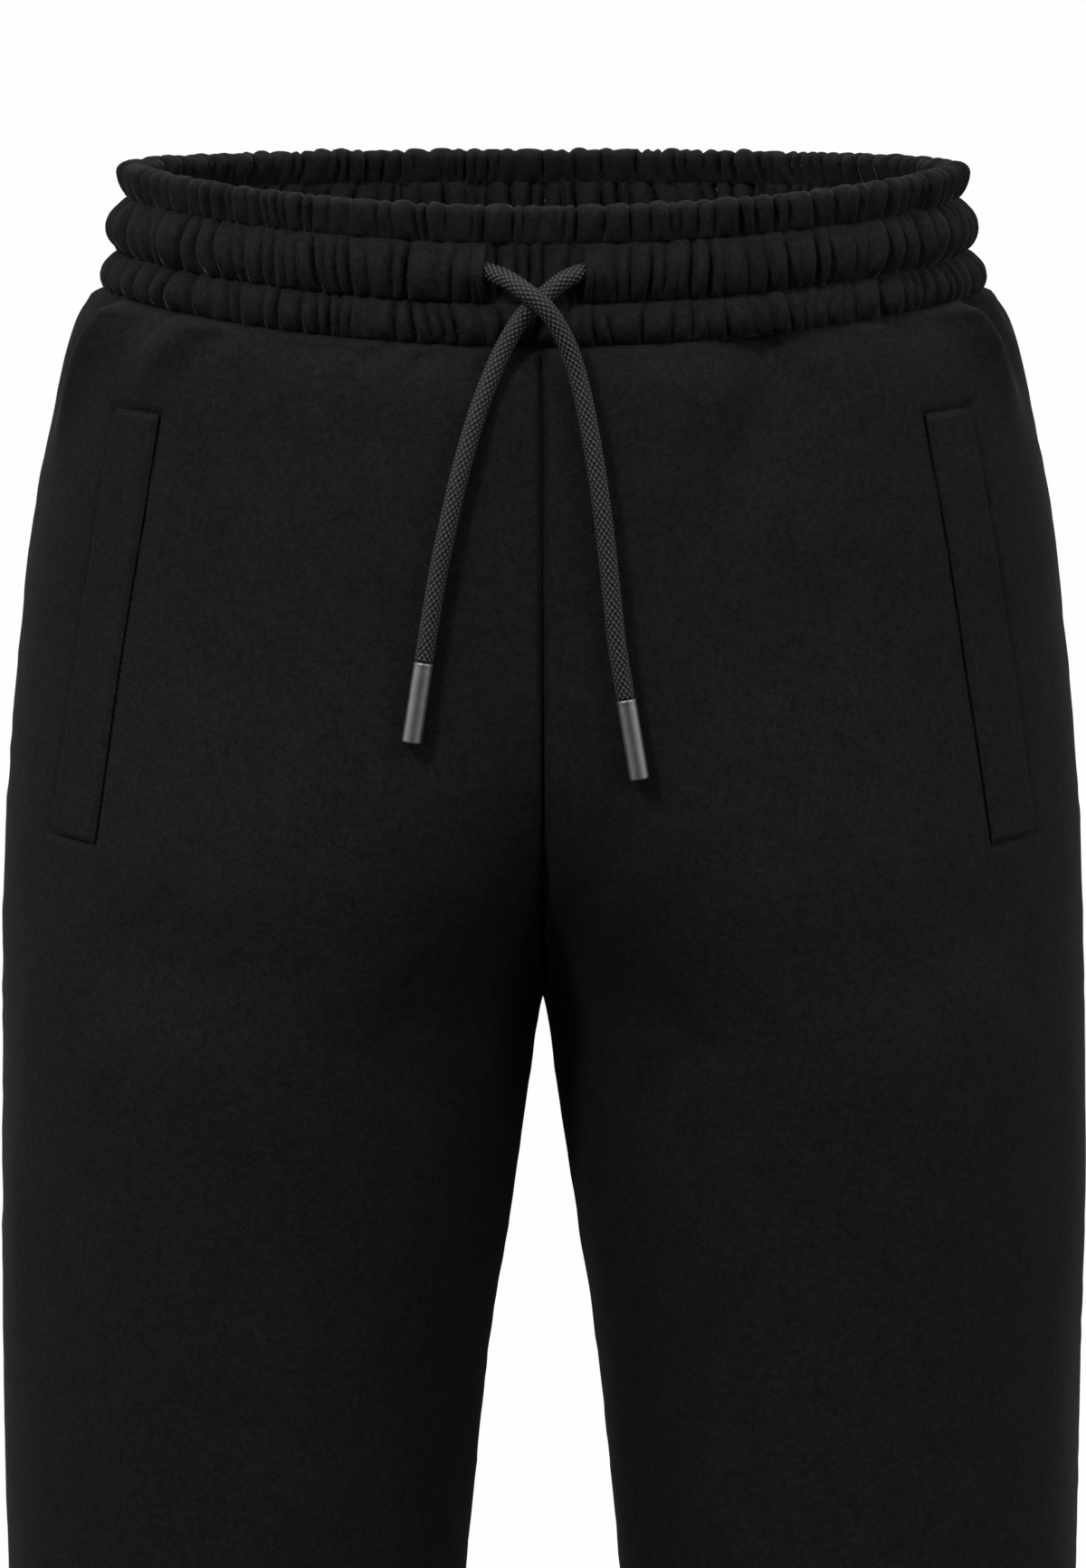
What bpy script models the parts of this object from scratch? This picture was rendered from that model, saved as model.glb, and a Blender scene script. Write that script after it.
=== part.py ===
"""Jogger sweatpants, hollow and open as they are when worn, in metres with +Z up.

The origin is the middle of the waistband, where the wearer's waist holds the garment. The front
faces -Y and the wearer's left is +X. Every cloth piece is a thin wall between two surfaces worked
out from the sections, seams and folds below.
"""

import math
from typing import NamedTuple

import bmesh
import bpy
import numpy as np
from mathutils import Vector

# Driving dimensions
CLOTH_WALL = 0.002  # brushed fleece
CUFF_WALL = 0.003  # rib knit, folded double
SEAM_GAP = 0.0003  # between pieces that are sewn together
HALF_GAP = SEAM_GAP / 2
CROTCH_LEVEL = -0.287
HEM_LEVEL = -0.945  # where the leg is gathered into its cuff
CUFF_DROP = 0.065
SEAM_LEVEL = -0.022  # waist seam at the sides
SEAM_DIP = 0.0133  # how much lower the waist seam is at the centre front
DIP_FADE_LEVEL = -0.130  # below this, the rows of the panels are level
PANEL_COLUMNS = 11
COLUMN_CROWDING = 1.3  # the columns are closer together towards the side seam

# Waistband
BAND_TOP = 0.022  # top edge at the sides
BAND_TOP_DIP = 0.0077
BAND_BACK_RISE = 0.0015
BAND_WALL = 0.004  # two layers of fleece round the elastic, at the rows of stitching
PLEATS = 42
PLEAT_DEPTH = 0.0008
SLOT_RIGHT_X = -0.0195  # the two slots that the drawcord leaves by
SLOT_LEFT_X = 0.0140
SLOT_STEP = 0.0006
WINDOW_COLUMNS = 5
WINDOW_FLOOR = -0.0015

# Drawcord
CORD_DIAMETER = 0.0068
TIP_DIAMETER = 0.0070
TIP_LENGTH = 0.029
CORD_SPACING = 2.2 * CORD_DIAMETER


class Section(NamedTuple):
    """A level cut through the wearer's left half, front and back measured from the side seam."""

    level: float
    side: float  # x of the side seam
    inner: float  # x of the inseam, negative where both legs are still one body
    front: float
    back: float
    seam_y: float


SECTIONS = (
    Section(-0.022, 0.1610, -0.1610, 0.1105, 0.1080, 0.000),
    Section(-0.026, 0.1665, -0.1665, 0.1150, 0.1120, 0.000),
    Section(-0.036, 0.1725, -0.1725, 0.1185, 0.1165, 0.000),
    Section(-0.067, 0.1803, -0.1803, 0.1215, 0.1240, 0.001),
    Section(-0.117, 0.1897, -0.1840, 0.1245, 0.1340, 0.002),
    Section(-0.151, 0.1934, -0.1560, 0.1255, 0.1380, 0.003),
    Section(-0.185, 0.1965, -0.1100, 0.1255, 0.1390, 0.003),
    Section(-0.219, 0.1988, -0.0600, 0.1245, 0.1370, 0.003),
    Section(-0.253, 0.2003, -0.0210, 0.1225, 0.1310, 0.003),
    Section(-0.276, 0.2009, -0.0040, 0.1210, 0.1260, 0.003),
    Section(CROTCH_LEVEL, 0.2011, 0.0004, 0.1202, 0.1232, 0.003),
    Section(-0.321, 0.2018, 0.0056, 0.1170, 0.1140, 0.003),
    Section(-0.356, 0.2022, 0.0107, 0.1140, 0.1080, 0.003),
    Section(-0.425, 0.2015, 0.0211, 0.1080, 0.0990, 0.002),
    Section(-0.506, 0.2001, 0.0292, 0.1010, 0.0930, 0.000),
    Section(-0.610, 0.1950, 0.0390, 0.0930, 0.0870, -0.002),
    Section(-0.705, 0.1880, 0.0470, 0.0820, 0.0840, 0.001),
    Section(-0.800, 0.1800, 0.0555, 0.0680, 0.0760, 0.006),
    Section(-0.880, 0.1735, 0.0620, 0.0590, 0.0660, 0.010),
    Section(-0.922, 0.1690, 0.0655, 0.0560, 0.0580, 0.013),
    Section(-0.937, 0.1655, 0.0690, 0.0510, 0.0520, 0.014),
    Section(HEM_LEVEL, 0.1595, 0.0745, 0.0440, 0.0440, 0.015),
)

# Rows of the panels, closer together under the waistband, round the crotch and over the cuff
ROW_LEVELS = (
    -0.022, -0.026, -0.036, -0.050, -0.067, -0.088, -0.112, -0.140, -0.170, -0.200, -0.230,
    -0.255, -0.272, -0.282, -0.287, -0.300, -0.325, -0.370, -0.425, -0.495, -0.560, -0.630,
    -0.705, -0.775, -0.835, -0.885, -0.915, -0.932, HEM_LEVEL,
)


class Fold(NamedTuple):
    """A soft ridge, or a trough where height is negative, along a line on one unrolled panel."""

    panel: str
    from_side: float  # distance round the panel from the side seam, at the upper end
    level: float
    to_side: float
    to_level: float
    width: float
    height: float


FOLDS = (
    Fold("front_left", 0.068, -0.022, 0.020, -0.092, 0.013, 0.0055),
    Fold("front_left", 0.036, -0.022, 0.010, -0.062, 0.013, -0.0055),
    Fold("front_left", 0.150, -0.030, 0.190, -0.110, 0.024, -0.0035),
    Fold("front_left", 0.090, -0.250, 0.200, -0.290, 0.022, -0.0030),
    Fold("front_right", 0.060, -0.022, 0.014, -0.100, 0.013, 0.0055),
    Fold("front_right", 0.032, -0.022, 0.008, -0.062, 0.013, -0.0055),
    Fold("front_right", 0.108, -0.024, 0.058, -0.078, 0.016, 0.0035),
    Fold("front_right", 0.100, -0.255, 0.200, -0.285, 0.022, -0.0030),
    Fold("back_left", 0.050, -0.022, 0.018, -0.090, 0.016, 0.0045),
    Fold("back_left", 0.120, -0.022, 0.150, -0.110, 0.022, -0.0035),
    Fold("back_left", 0.190, -0.318, 0.050, -0.345, 0.022, -0.0050),
    Fold("back_right", 0.056, -0.022, 0.024, -0.080, 0.016, 0.0045),
    Fold("back_right", 0.132, -0.022, 0.115, -0.120, 0.022, -0.0035),
    Fold("back_right", 0.200, -0.322, 0.060, -0.336, 0.022, -0.0050),
)


class Channel(NamedTuple):
    """One elastic channel of the waistband, from the top down as shares of its height."""

    top: float
    bottom: float
    bulge: float  # how far the outer layer stands off its rows of stitching
    inner_bulge: float


CHANNELS = (
    Channel(0.000, 0.275, 0.0030, 0.0018),
    Channel(0.275, 0.700, 0.0040, 0.0022),
    Channel(0.700, 1.000, 0.0030, 0.0018),
)


class WeltCorner(NamedTuple):
    """A corner of a pocket welt: distance out from the middle plane, and its level."""

    reach: float
    level: float


WELT_TOP_OUTER = WeltCorner(0.1535, -0.0580)
WELT_TOP_INNER = WeltCorner(0.1368, -0.0580)
WELT_BOTTOM_INNER = WeltCorner(0.1625, -0.2170)
WELT_BOTTOM_OUTER = WeltCorner(0.1790, -0.2155)
WELT_COLUMNS = 3
WELT_ROWS = 14
HALVINGS = 30

# Centrelines of the drawcord's two free ends, from the slot to the tip
CORD_RIGHT_ROUTE = (
    (-0.0187, -0.1122, -0.0092),
    (-0.0130, -0.1170, -0.0108),
    (-0.0060, -0.1223, -0.0150),
    (0.0010, -0.1240, -0.0208),
    (0.0070, -0.1236, -0.0300),
    (0.0112, -0.1228, -0.0410),
    (0.0145, -0.1234, -0.0540),
    (0.0175, -0.1246, -0.0700),
    (0.0203, -0.1258, -0.0880),
    (0.0225, -0.1264, -0.1060),
    (0.0243, -0.1268, -0.1230),
    (0.0262, -0.1270, -0.1400),
    (0.0292, -0.1268, -0.1580),
)
CORD_LEFT_ROUTE = (
    (0.0130, -0.1121, -0.0092),
    (0.0075, -0.1136, -0.0115),
    (0.0000, -0.1152, -0.0172),
    (-0.0070, -0.1172, -0.0240),
    (-0.0130, -0.1184, -0.0335),
    (-0.0183, -0.1204, -0.0450),
    (-0.0235, -0.1222, -0.0590),
    (-0.0285, -0.1242, -0.0760),
    (-0.0328, -0.1254, -0.0940),
    (-0.0365, -0.1258, -0.1115),
    (-0.0395, -0.1260, -0.1290),
    (-0.0420, -0.1260, -0.1450),
)


def clear_scene():
    """Empties the scene and gives the collection that the object goes in."""
    for old in list(bpy.data.objects):
        bpy.data.objects.remove(old, do_unlink=True)
    collection = bpy.data.collections.new("jogger_sweatpants")
    bpy.context.scene.collection.children.link(collection)
    return collection


def finish(name, colour, roughness, metallic=0.0):
    """A plain material with one colour."""
    material = bpy.data.materials.new(name)
    material.use_nodes = True
    shader = material.node_tree.nodes["Principled BSDF"]
    shader.inputs["Base Color"].default_value = (*colour, 1.0)
    shader.inputs["Roughness"].default_value = roughness
    shader.inputs["Metallic"].default_value = metallic
    return material


def eased(share):
    """A smooth step from 0 to 1."""
    share = min(max(share, 0.0), 1.0)
    return share * share * (3.0 - 2.0 * share)


def column_slopes(levels, values):
    """Slopes of a curve through the table that never overshoots it."""
    secants = np.diff(values) / np.diff(levels)
    slopes = np.concatenate([secants[:1], np.zeros(len(secants) - 1), secants[-1:]])
    for row in range(1, len(secants)):
        before, after = secants[row - 1], secants[row]
        if before * after > 0:
            slopes[row] = 2.0 * before * after / (before + after)
    return slopes


LEVELS = np.array([section.level for section in SECTIONS])[::-1]
COLUMNS = {
    field: np.array([getattr(section, field) for section in SECTIONS])[::-1]
    for field in ("side", "inner", "front", "back", "seam_y")
}
SLOPES = {field: column_slopes(LEVELS, values) for field, values in COLUMNS.items()}


def measure(field, level):
    """One column of the section table at any level, on a smooth curve between its rows."""
    row = int(np.clip(np.searchsorted(LEVELS, level) - 1, 0, len(LEVELS) - 2))
    step = LEVELS[row + 1] - LEVELS[row]
    share = min(max((level - LEVELS[row]) / step, 0.0), 1.0)
    low, high = COLUMNS[field][row : row + 2]
    low_slope, high_slope = SLOPES[field][row : row + 2] * step
    bend = low * (1 + 2 * share) * (1 - share) ** 2 + high * share**2 * (3 - 2 * share)
    return bend + low_slope * share * (1 - share) ** 2 - high_slope * share**2 * (1 - share)


def last_angle(level):
    """Angle of the section where it reaches the centre seam, or half a turn at the inseam."""
    side, inner = measure("side", level), measure("inner", level)
    if inner >= 0:
        return math.pi
    return math.acos(min(1.0, -(side + inner) / (side - inner)))


def turn(share, level):
    """Angle at a share of the panel. Near the crotch only the inner columns move round."""
    last = last_angle(level)
    if last > math.pi - 1e-6:
        return math.pi * share
    power = min(4.0, last / (math.pi - last))
    return math.pi * share - (math.pi - last) * share**power


def half_girth(level):
    """Length round one panel at this level, taking its section as part of an ellipse."""
    radius = (measure("side", level) - measure("inner", level)) / 2
    depth = (measure("front", level) + measure("back", level)) / 2
    return last_angle(level) * math.sqrt((radius**2 + depth**2) / 2)


def plain_point(share, level, is_front):
    """A point of the wearer's left half before folds: share is 0 at the side seam, 1 at the inner."""
    side, inner = measure("side", level), measure("inner", level)
    centre, radius = (side + inner) / 2, (side - inner) / 2
    angle = turn(share, level)
    depth = -measure("front", level) if is_front else measure("back", level)
    dip = SEAM_DIP * math.sin(angle) ** 2 if is_front else 0.0
    fade = eased((level - DIP_FADE_LEVEL) / (SEAM_LEVEL - DIP_FADE_LEVEL))
    return Vector((
        centre + radius * math.cos(angle),
        measure("seam_y", level) + depth * math.sin(angle),
        level - dip * fade,
    ))


def outward(point_at, share, level, is_front):
    """Unit normal of a surface of the wearer's left half, from two short chords across the point."""
    step = 1e-3
    across = point_at(min(share + step, 1.0), level) - point_at(max(share - step, 0.0), level)
    down = point_at(share, level - step) - point_at(share, level + step)
    return (across.cross(down) if is_front else down.cross(across)).normalized()


def fold_height(panel, share, level):
    """How far the folds lift the cloth here: bell-shaped across each fold, fading to its lower end."""
    place = np.array([share * half_girth(level), level])
    lift = 0.0
    for fold in FOLDS:
        if fold.panel != panel:
            continue
        start = np.array([fold.from_side, fold.level])
        run = np.array([fold.to_side, fold.to_level]) - start
        along = min(max(float((place - start) @ run / (run @ run)), 0.0), 1.0)
        away = float(np.linalg.norm(place - start - along * run))
        lift += fold.height * math.exp(-((away / fold.width) ** 2)) * (1.0 - eased(along))
    return lift


def draped_point(panel, share, level):
    """A point of a panel's outer face, folds included, on the wearer's left half."""
    is_front = panel.startswith("front")
    bare = plain_point(share, level, is_front)
    lift = fold_height(panel, share, level)
    if abs(lift) < 1e-6:
        return bare
    out = outward(lambda s, z: plain_point(s, z, is_front), share, level, is_front)
    return bare + lift * Vector((out.x, out.y, 0.0)).normalized()


def mirrored(point, panel):
    """The point on its own side of the body: the wearer's right is the mirror of the left."""
    return Vector((-point.x, point.y, point.z)) if panel.endswith("right") else point


def add_object(name, mesh, material, collection):
    """Links a mesh as one named object, shaded smooth with its rims sharp."""
    mesh.shade_smooth()
    mesh.set_sharp_from_angle(angle=math.radians(50))
    mesh.materials.append(material)
    made = bpy.data.objects.new(name, mesh)
    collection.objects.link(made)
    return made


def cloth_wall(name, columns, rows, outer_and_inner, material, collection):
    """A sheet with thickness: a grid for its outer face, extruded and moved to its inner face.

    outer_and_inner gives the two points of the wall at a column and row, each from 0 to 1.
    """
    shell = bmesh.new()
    bmesh.ops.create_grid(shell, x_segments=columns, y_segments=rows, size=1.0)
    outer = list(shell.verts)
    places = [((vert.co.x + 1) / 2, (1 - vert.co.y) / 2) for vert in outer]
    pairs = [outer_and_inner(column, row) for column, row in places]
    walls = bmesh.ops.extrude_face_region(shell, geom=list(shell.faces), use_keep_orig=True)
    for vert in (new for new in walls["geom"] if isinstance(new, bmesh.types.BMVert)):
        place = ((vert.co.x + 1) / 2, (1 - vert.co.y) / 2)
        vert.co = outer_and_inner(*place)[1]
    for vert, (front, _) in zip(outer, pairs, strict=True):
        vert.co = front
    bmesh.ops.recalc_face_normals(shell, faces=list(shell.faces))
    mesh = bpy.data.meshes.new(name)
    shell.to_mesh(mesh)
    shell.free()
    return add_object(name, mesh, material, collection)


def leg_panel(panel, material, collection):
    """One of the four panels, from the waist seam to the cuff and from the side seam inwards."""
    is_front = panel.startswith("front")

    def sides(column, row):
        level = float(np.interp(row * (len(ROW_LEVELS) - 1), range(len(ROW_LEVELS)), ROW_LEVELS))
        level = min(max(level, HEM_LEVEL + HALF_GAP), SEAM_LEVEL - HALF_GAP)
        edge = HALF_GAP / half_girth(level)
        share = edge + column**COLUMN_CROWDING * (1 - 2 * edge)
        point = draped_point(panel, share, level)
        normal = outward(lambda s, z: draped_point(panel, s, z), share, level, is_front)
        clear_of_centre = max(point.x, HALF_GAP)
        inside = point - CLOTH_WALL * normal
        point.x, inside.x = clear_of_centre, max(inside.x, HALF_GAP)
        return mirrored(point, panel), mirrored(inside, panel)

    return cloth_wall(panel, PANEL_COLUMNS, len(ROW_LEVELS) - 1, sides, material, collection)


def share_at_reach(reach, level):
    """Share of the front panel at which it is this far from the middle plane, found by halving."""
    low, high = 0.0, 1.0
    for _ in range(HALVINGS):
        middle = (low + high) / 2
        if plain_point(middle, level, True).x > reach:
            low = middle
        else:
            high = middle
    return (low + high) / 2


def pocket_welt(name, panel, material, collection):
    """The folded strip over a pocket's opening, made from the front panel's points, moved out."""

    def sides(column, row):
        top = np.array(WELT_TOP_OUTER) * (1 - column) + np.array(WELT_TOP_INNER) * column
        bottom = np.array(WELT_BOTTOM_OUTER) * (1 - column) + np.array(WELT_BOTTOM_INNER) * column
        reach, level = top * (1 - row) + bottom * row
        share = share_at_reach(reach, level)
        point = draped_point(panel, share, level)
        normal = outward(lambda s, z: draped_point(panel, s, z), share, level, True)
        lower = point + 2 * SEAM_GAP * normal
        return mirrored(lower + CLOTH_WALL * normal, panel), mirrored(lower, panel)

    return cloth_wall(name, WELT_COLUMNS, WELT_ROWS, sides, material, collection)


def reshaped_ring(name, stations, loop_size, point_at, material, collection):
    """A torus whose points are moved to sections worked out station by station."""
    bpy.ops.mesh.primitive_torus_add(
        major_segments=len(stations), minor_segments=loop_size, major_radius=1, minor_radius=0.2
    )
    ring = bpy.context.object
    mesh = ring.data
    for index, vertex in enumerate(mesh.vertices):
        station, place = divmod(index, loop_size)
        vertex.co = point_at(station, place)
    bpy.data.objects.remove(ring)
    mesh.name = name
    shell = bmesh.new()
    shell.from_mesh(mesh)
    bmesh.ops.recalc_face_normals(shell, faces=list(shell.faces))
    shell.to_mesh(mesh)
    shell.free()
    return add_object(name, mesh, material, collection)


def band_stations():
    """(angle from the centre front, whether it is a pleat's crest, whether the window is here)."""
    width = measure("side", SEAM_LEVEL)
    left, right = math.asin(SLOT_LEFT_X / width), math.asin(SLOT_RIGHT_X / width)
    step = SLOT_STEP / width
    gathered = np.linspace(left + step, 2 * math.pi + right - step, 2 * PLEATS + 1)
    window = np.linspace(right, left, WINDOW_COLUMNS + 1)
    stations = [(angle, index % 2 == 1, False) for index, angle in enumerate(gathered)]
    return stations + [(angle, False, True) for angle in window]


def band_centre(angle, drop):
    """Middle of the waistband's outer stitching line, and the way out, at a share of its height."""
    is_front = math.cos(angle) > 0
    towards = math.cos(angle) ** 2
    side = 0.1545 + 0.0065 * drop
    depth = (0.1050 + 0.0055 * drop) if is_front else (0.1045 + 0.0035 * drop)
    top = BAND_TOP + (-BAND_TOP_DIP if is_front else BAND_BACK_RISE) * towards
    bottom = SEAM_LEVEL + HALF_GAP - (SEAM_DIP if is_front else 0.0) * towards
    point = Vector((side * math.sin(angle), -depth * math.cos(angle), top + (bottom - top) * drop))
    return point, Vector((math.sin(angle) / side, -math.cos(angle) / depth, 0.0)).normalized()


def band_section():
    """The waistband's cut: (share of height, stand-off of the outer layer or wall, is outer)."""
    outer = [(0.06, 0.6), (0.15, 1.0), (0.275, 0.0), (0.37, 0.8), (0.49, 1.0), (0.60, 0.8)]
    outer += [(0.70, 0.0), (0.85, 1.0), (1.0, 0.15)]
    inner = [(1.0, 0.0), (0.85, 1.0), (0.70, 0.0), (0.49, 1.0), (0.275, 0.0), (0.12, 1.0)]
    return [(*place, True) for place in outer] + [(*place, False) for place in inner] + [(0, 0, False)]


def waistband(material, collection):
    """The gathered band: three elastic channels, with a window for the drawcord at the front."""
    stations, section = band_stations(), band_section()

    def point_at(station, place):
        angle, is_crest, in_window = stations[station]
        drop, fullness, is_outer = section[place]
        centre, out = band_centre(angle, drop)
        channel = next(row for row in CHANNELS if drop <= row.bottom)
        pleat = PLEAT_DEPTH if is_crest else -PLEAT_DEPTH
        if in_window:
            pleat = 0.0
        if not is_outer:
            return centre - (BAND_WALL + channel.inner_bulge * fullness) * out
        if in_window and 0.3 < drop < 0.68:
            return centre + WINDOW_FLOOR * out
        return centre + (channel.bulge * fullness + pleat * fullness) * out

    return reshaped_ring("waistband", stations, len(section), point_at, material, collection)


def cuff(name, mirror, material, collection):
    """A ribbed tube gathered to the hem of one leg, a little narrower at its middle."""
    ribs = 32
    section = [(0.0, 0.0), (0.5, -0.0012), (1.0, -0.0004)]
    loop = [(drop, waist) for drop, waist in section]
    loop += [(drop, waist - CUFF_WALL) for drop, waist in reversed(section)]
    side, inner = measure("side", HEM_LEVEL), measure("inner", HEM_LEVEL)
    depth, middle_y = measure("front", HEM_LEVEL), measure("seam_y", HEM_LEVEL)
    centre, radius = (side + inner) / 2, (side - inner) / 2

    def point_at(station, place):
        angle = 2 * math.pi * station / ribs
        drop, offset = loop[place]
        level = HEM_LEVEL - HALF_GAP - drop * (CUFF_DROP - HALF_GAP)
        x = centre + (radius + offset) * math.cos(angle)
        y = middle_y + (depth + offset) * math.sin(angle)
        return Vector((-x if mirror else x, y, level))

    return reshaped_ring(name, range(ribs), len(loop), point_at, material, collection)


def smooth_route(points, spacing):
    """Even steps along a curve that runs smoothly through the route's own points."""
    anchors = [Vector(point) for point in points]
    padded = [2 * anchors[0] - anchors[1], *anchors, 2 * anchors[-1] - anchors[-2]]
    fine = []
    for before, start, end, after in zip(padded, padded[1:], padded[2:], padded[3:]):
        for share in np.linspace(0, 1, 12, endpoint=False):
            pull = (end - before) * share + (2 * before - 5 * start + 4 * end - after) * share**2
            fine.append(start + (pull + (3 * start - before - 3 * end + after) * share**3) / 2)
    fine.append(anchors[-1])
    runs = [0.0, *np.cumsum([(b - a).length for a, b in zip(fine, fine[1:])])]
    stops = np.linspace(0, runs[-1], max(2, round(runs[-1] / spacing) + 1))
    return [Vector([np.interp(stop, runs, [p[k] for p in fine]) for k in range(3)]) for stop in stops]


def cord_tube(name, route, material, collection):
    """One free end of the drawcord, a curve with a round bevel."""
    curve = bpy.data.curves.new(name, "CURVE")
    curve.dimensions = "3D"
    curve.bevel_depth = CORD_DIAMETER / 2
    curve.bevel_resolution = 2
    curve.use_fill_caps = True
    line = smooth_route(route, CORD_SPACING)
    spline = curve.splines.new("POLY")
    spline.points.add(len(line) - 1)
    for point, place in zip(spline.points, line, strict=True):
        point.co = (*place, 1.0)
    curve.materials.append(material)
    made = bpy.data.objects.new(name, curve)
    collection.objects.link(made)
    return line


def cord_tip(name, line, material, collection):
    """The metal tip that closes a cord end, in line with the cord's last stretch."""
    along = (line[-1] - line[-2]).normalized()
    rod = bmesh.new()
    bmesh.ops.create_cone(
        rod, cap_ends=True, segments=16, radius1=TIP_DIAMETER / 2, radius2=TIP_DIAMETER / 2,
        depth=TIP_LENGTH,
    )
    mesh = bpy.data.meshes.new(name)
    rod.to_mesh(mesh)
    rod.free()
    made = add_object(name, mesh, material, collection)
    made.rotation_mode = "QUATERNION"
    made.rotation_quaternion = along.to_track_quat("Z", "Y")
    made.location = line[-1] + along * (SEAM_GAP + TIP_LENGTH / 2)
    edge = made.modifiers.new("rounded_rims", "BEVEL")
    edge.width = 0.0004
    edge.segments = 1
    edge.limit_method = "ANGLE"
    return made


def main():
    """Builds every piece in the order that it would be sewn."""
    collection = clear_scene()
    fleece = finish("black_fleece", (0.010, 0.010, 0.011), 0.9)
    rib = finish("black_rib", (0.009, 0.009, 0.010), 0.9)
    braid = finish("charcoal_braid", (0.045, 0.045, 0.048), 0.7)
    metal = finish("gunmetal", (0.12, 0.12, 0.125), 0.4, 1.0)
    for panel in ("front_left", "front_right", "back_left", "back_right"):
        leg_panel(panel, fleece, collection)
    pocket_welt("pocket_welt_left", "front_left", fleece, collection)
    pocket_welt("pocket_welt_right", "front_right", fleece, collection)
    waistband(fleece, collection)
    cuff("cuff_left", False, rib, collection)
    cuff("cuff_right", True, rib, collection)
    right = cord_tube("drawcord_right", CORD_RIGHT_ROUTE, braid, collection)
    left = cord_tube("drawcord_left", CORD_LEFT_ROUTE, braid, collection)
    cord_tip("cord_tip_right", right, metal, collection)
    cord_tip("cord_tip_left", left, metal, collection)


main()
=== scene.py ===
"""The looks of a pair of black fleece joggers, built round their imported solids.

Every cloth piece is a surface of two parameters worked out as whole arrays. The sections, pockets and
cord routes follow the solids', and finer folds, gathers, seams and stitches lie on them.
Everything is in metres, the front faces -Y and the wearer's left is +X.
"""

from __future__ import annotations

import logging
import math
from dataclasses import dataclass
from enum import Enum
from typing import Any, NamedTuple

import bpy
import numpy as np
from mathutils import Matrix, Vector


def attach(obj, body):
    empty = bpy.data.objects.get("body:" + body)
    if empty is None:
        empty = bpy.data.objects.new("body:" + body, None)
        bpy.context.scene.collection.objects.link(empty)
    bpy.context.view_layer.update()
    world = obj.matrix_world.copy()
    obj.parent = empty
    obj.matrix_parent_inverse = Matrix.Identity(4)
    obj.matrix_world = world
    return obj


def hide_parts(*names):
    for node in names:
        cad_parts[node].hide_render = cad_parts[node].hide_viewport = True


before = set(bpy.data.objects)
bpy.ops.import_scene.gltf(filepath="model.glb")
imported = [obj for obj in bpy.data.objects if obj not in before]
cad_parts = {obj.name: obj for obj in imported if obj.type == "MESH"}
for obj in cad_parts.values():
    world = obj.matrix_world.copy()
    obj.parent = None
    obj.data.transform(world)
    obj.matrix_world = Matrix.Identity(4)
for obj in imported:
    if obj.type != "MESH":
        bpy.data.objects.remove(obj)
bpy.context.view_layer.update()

LOG = logging.getLogger("joggers")
Array = np.ndarray

CROTCH_LEVEL = -0.287
HEM_LEVEL = -0.945
SEAM_LEVEL = -0.022
SEAM_DIP = 0.0133
DIP_FADE_LEVEL = -0.130
RISE_TOP = -0.175
FLOOR_LEVEL = -1.016
SHARP_ANGLE = math.radians(55)
HALVINGS = 24


class Side(Enum):
    """The wearer's left or right, as the sign of x."""

    LEFT = 1
    RIGHT = -1

    @property
    def word(self) -> str:
        """The side's name as the pieces spell it."""
        return self.name.lower()


class Face(Enum):
    """Front or back of the body, as the sign of y."""

    FRONT = -1
    BACK = 1

    @property
    def word(self) -> str:
        """The face's name as the pieces spell it."""
        return self.name.lower()


class Section(NamedTuple):
    """A level cut through the wearer's left half, front and back measured from the side seam."""

    level: float
    side: float
    inner: float
    front: float
    back: float
    seam_y: float


SECTIONS = (
    Section(-0.022, 0.1610, -0.1610, 0.1105, 0.1080, 0.000),
    Section(-0.026, 0.1665, -0.1665, 0.1150, 0.1120, 0.000),
    Section(-0.036, 0.1725, -0.1725, 0.1185, 0.1165, 0.000),
    Section(-0.067, 0.1803, -0.1803, 0.1215, 0.1240, 0.001),
    Section(-0.117, 0.1897, -0.1840, 0.1245, 0.1340, 0.002),
    Section(-0.151, 0.1934, -0.1560, 0.1255, 0.1380, 0.003),
    Section(-0.185, 0.1965, -0.1100, 0.1255, 0.1390, 0.003),
    Section(-0.219, 0.1988, -0.0600, 0.1245, 0.1370, 0.003),
    Section(-0.253, 0.2003, -0.0210, 0.1225, 0.1310, 0.003),
    Section(-0.276, 0.2009, -0.0040, 0.1210, 0.1260, 0.003),
    Section(CROTCH_LEVEL, 0.2011, 0.0004, 0.1202, 0.1232, 0.003),
    Section(-0.321, 0.2018, 0.0056, 0.1170, 0.1140, 0.003),
    Section(-0.356, 0.2022, 0.0107, 0.1140, 0.1080, 0.003),
    Section(-0.425, 0.2015, 0.0211, 0.1080, 0.0990, 0.002),
    Section(-0.506, 0.2001, 0.0292, 0.1010, 0.0930, 0.000),
    Section(-0.610, 0.1950, 0.0390, 0.0930, 0.0870, -0.002),
    Section(-0.705, 0.1880, 0.0470, 0.0820, 0.0840, 0.001),
    Section(-0.800, 0.1800, 0.0555, 0.0680, 0.0760, 0.006),
    Section(-0.880, 0.1735, 0.0620, 0.0590, 0.0660, 0.010),
    Section(-0.922, 0.1690, 0.0655, 0.0560, 0.0580, 0.013),
    Section(-0.937, 0.1655, 0.0690, 0.0510, 0.0520, 0.014),
    Section(HEM_LEVEL, 0.1595, 0.0745, 0.0440, 0.0440, 0.015),
)


class Fold(NamedTuple):
    """A soft ridge, or a trough where height is negative, along a line on one unrolled panel."""

    panel: str
    from_side: float  # distance round the panel from the side seam, at the upper end
    level: float
    to_side: float
    to_level: float
    width: float
    height: float


class Fade(Enum):
    """Where along its line a fold dies away."""

    LOWER_END = 1
    BOTH_ENDS = 2


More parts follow.
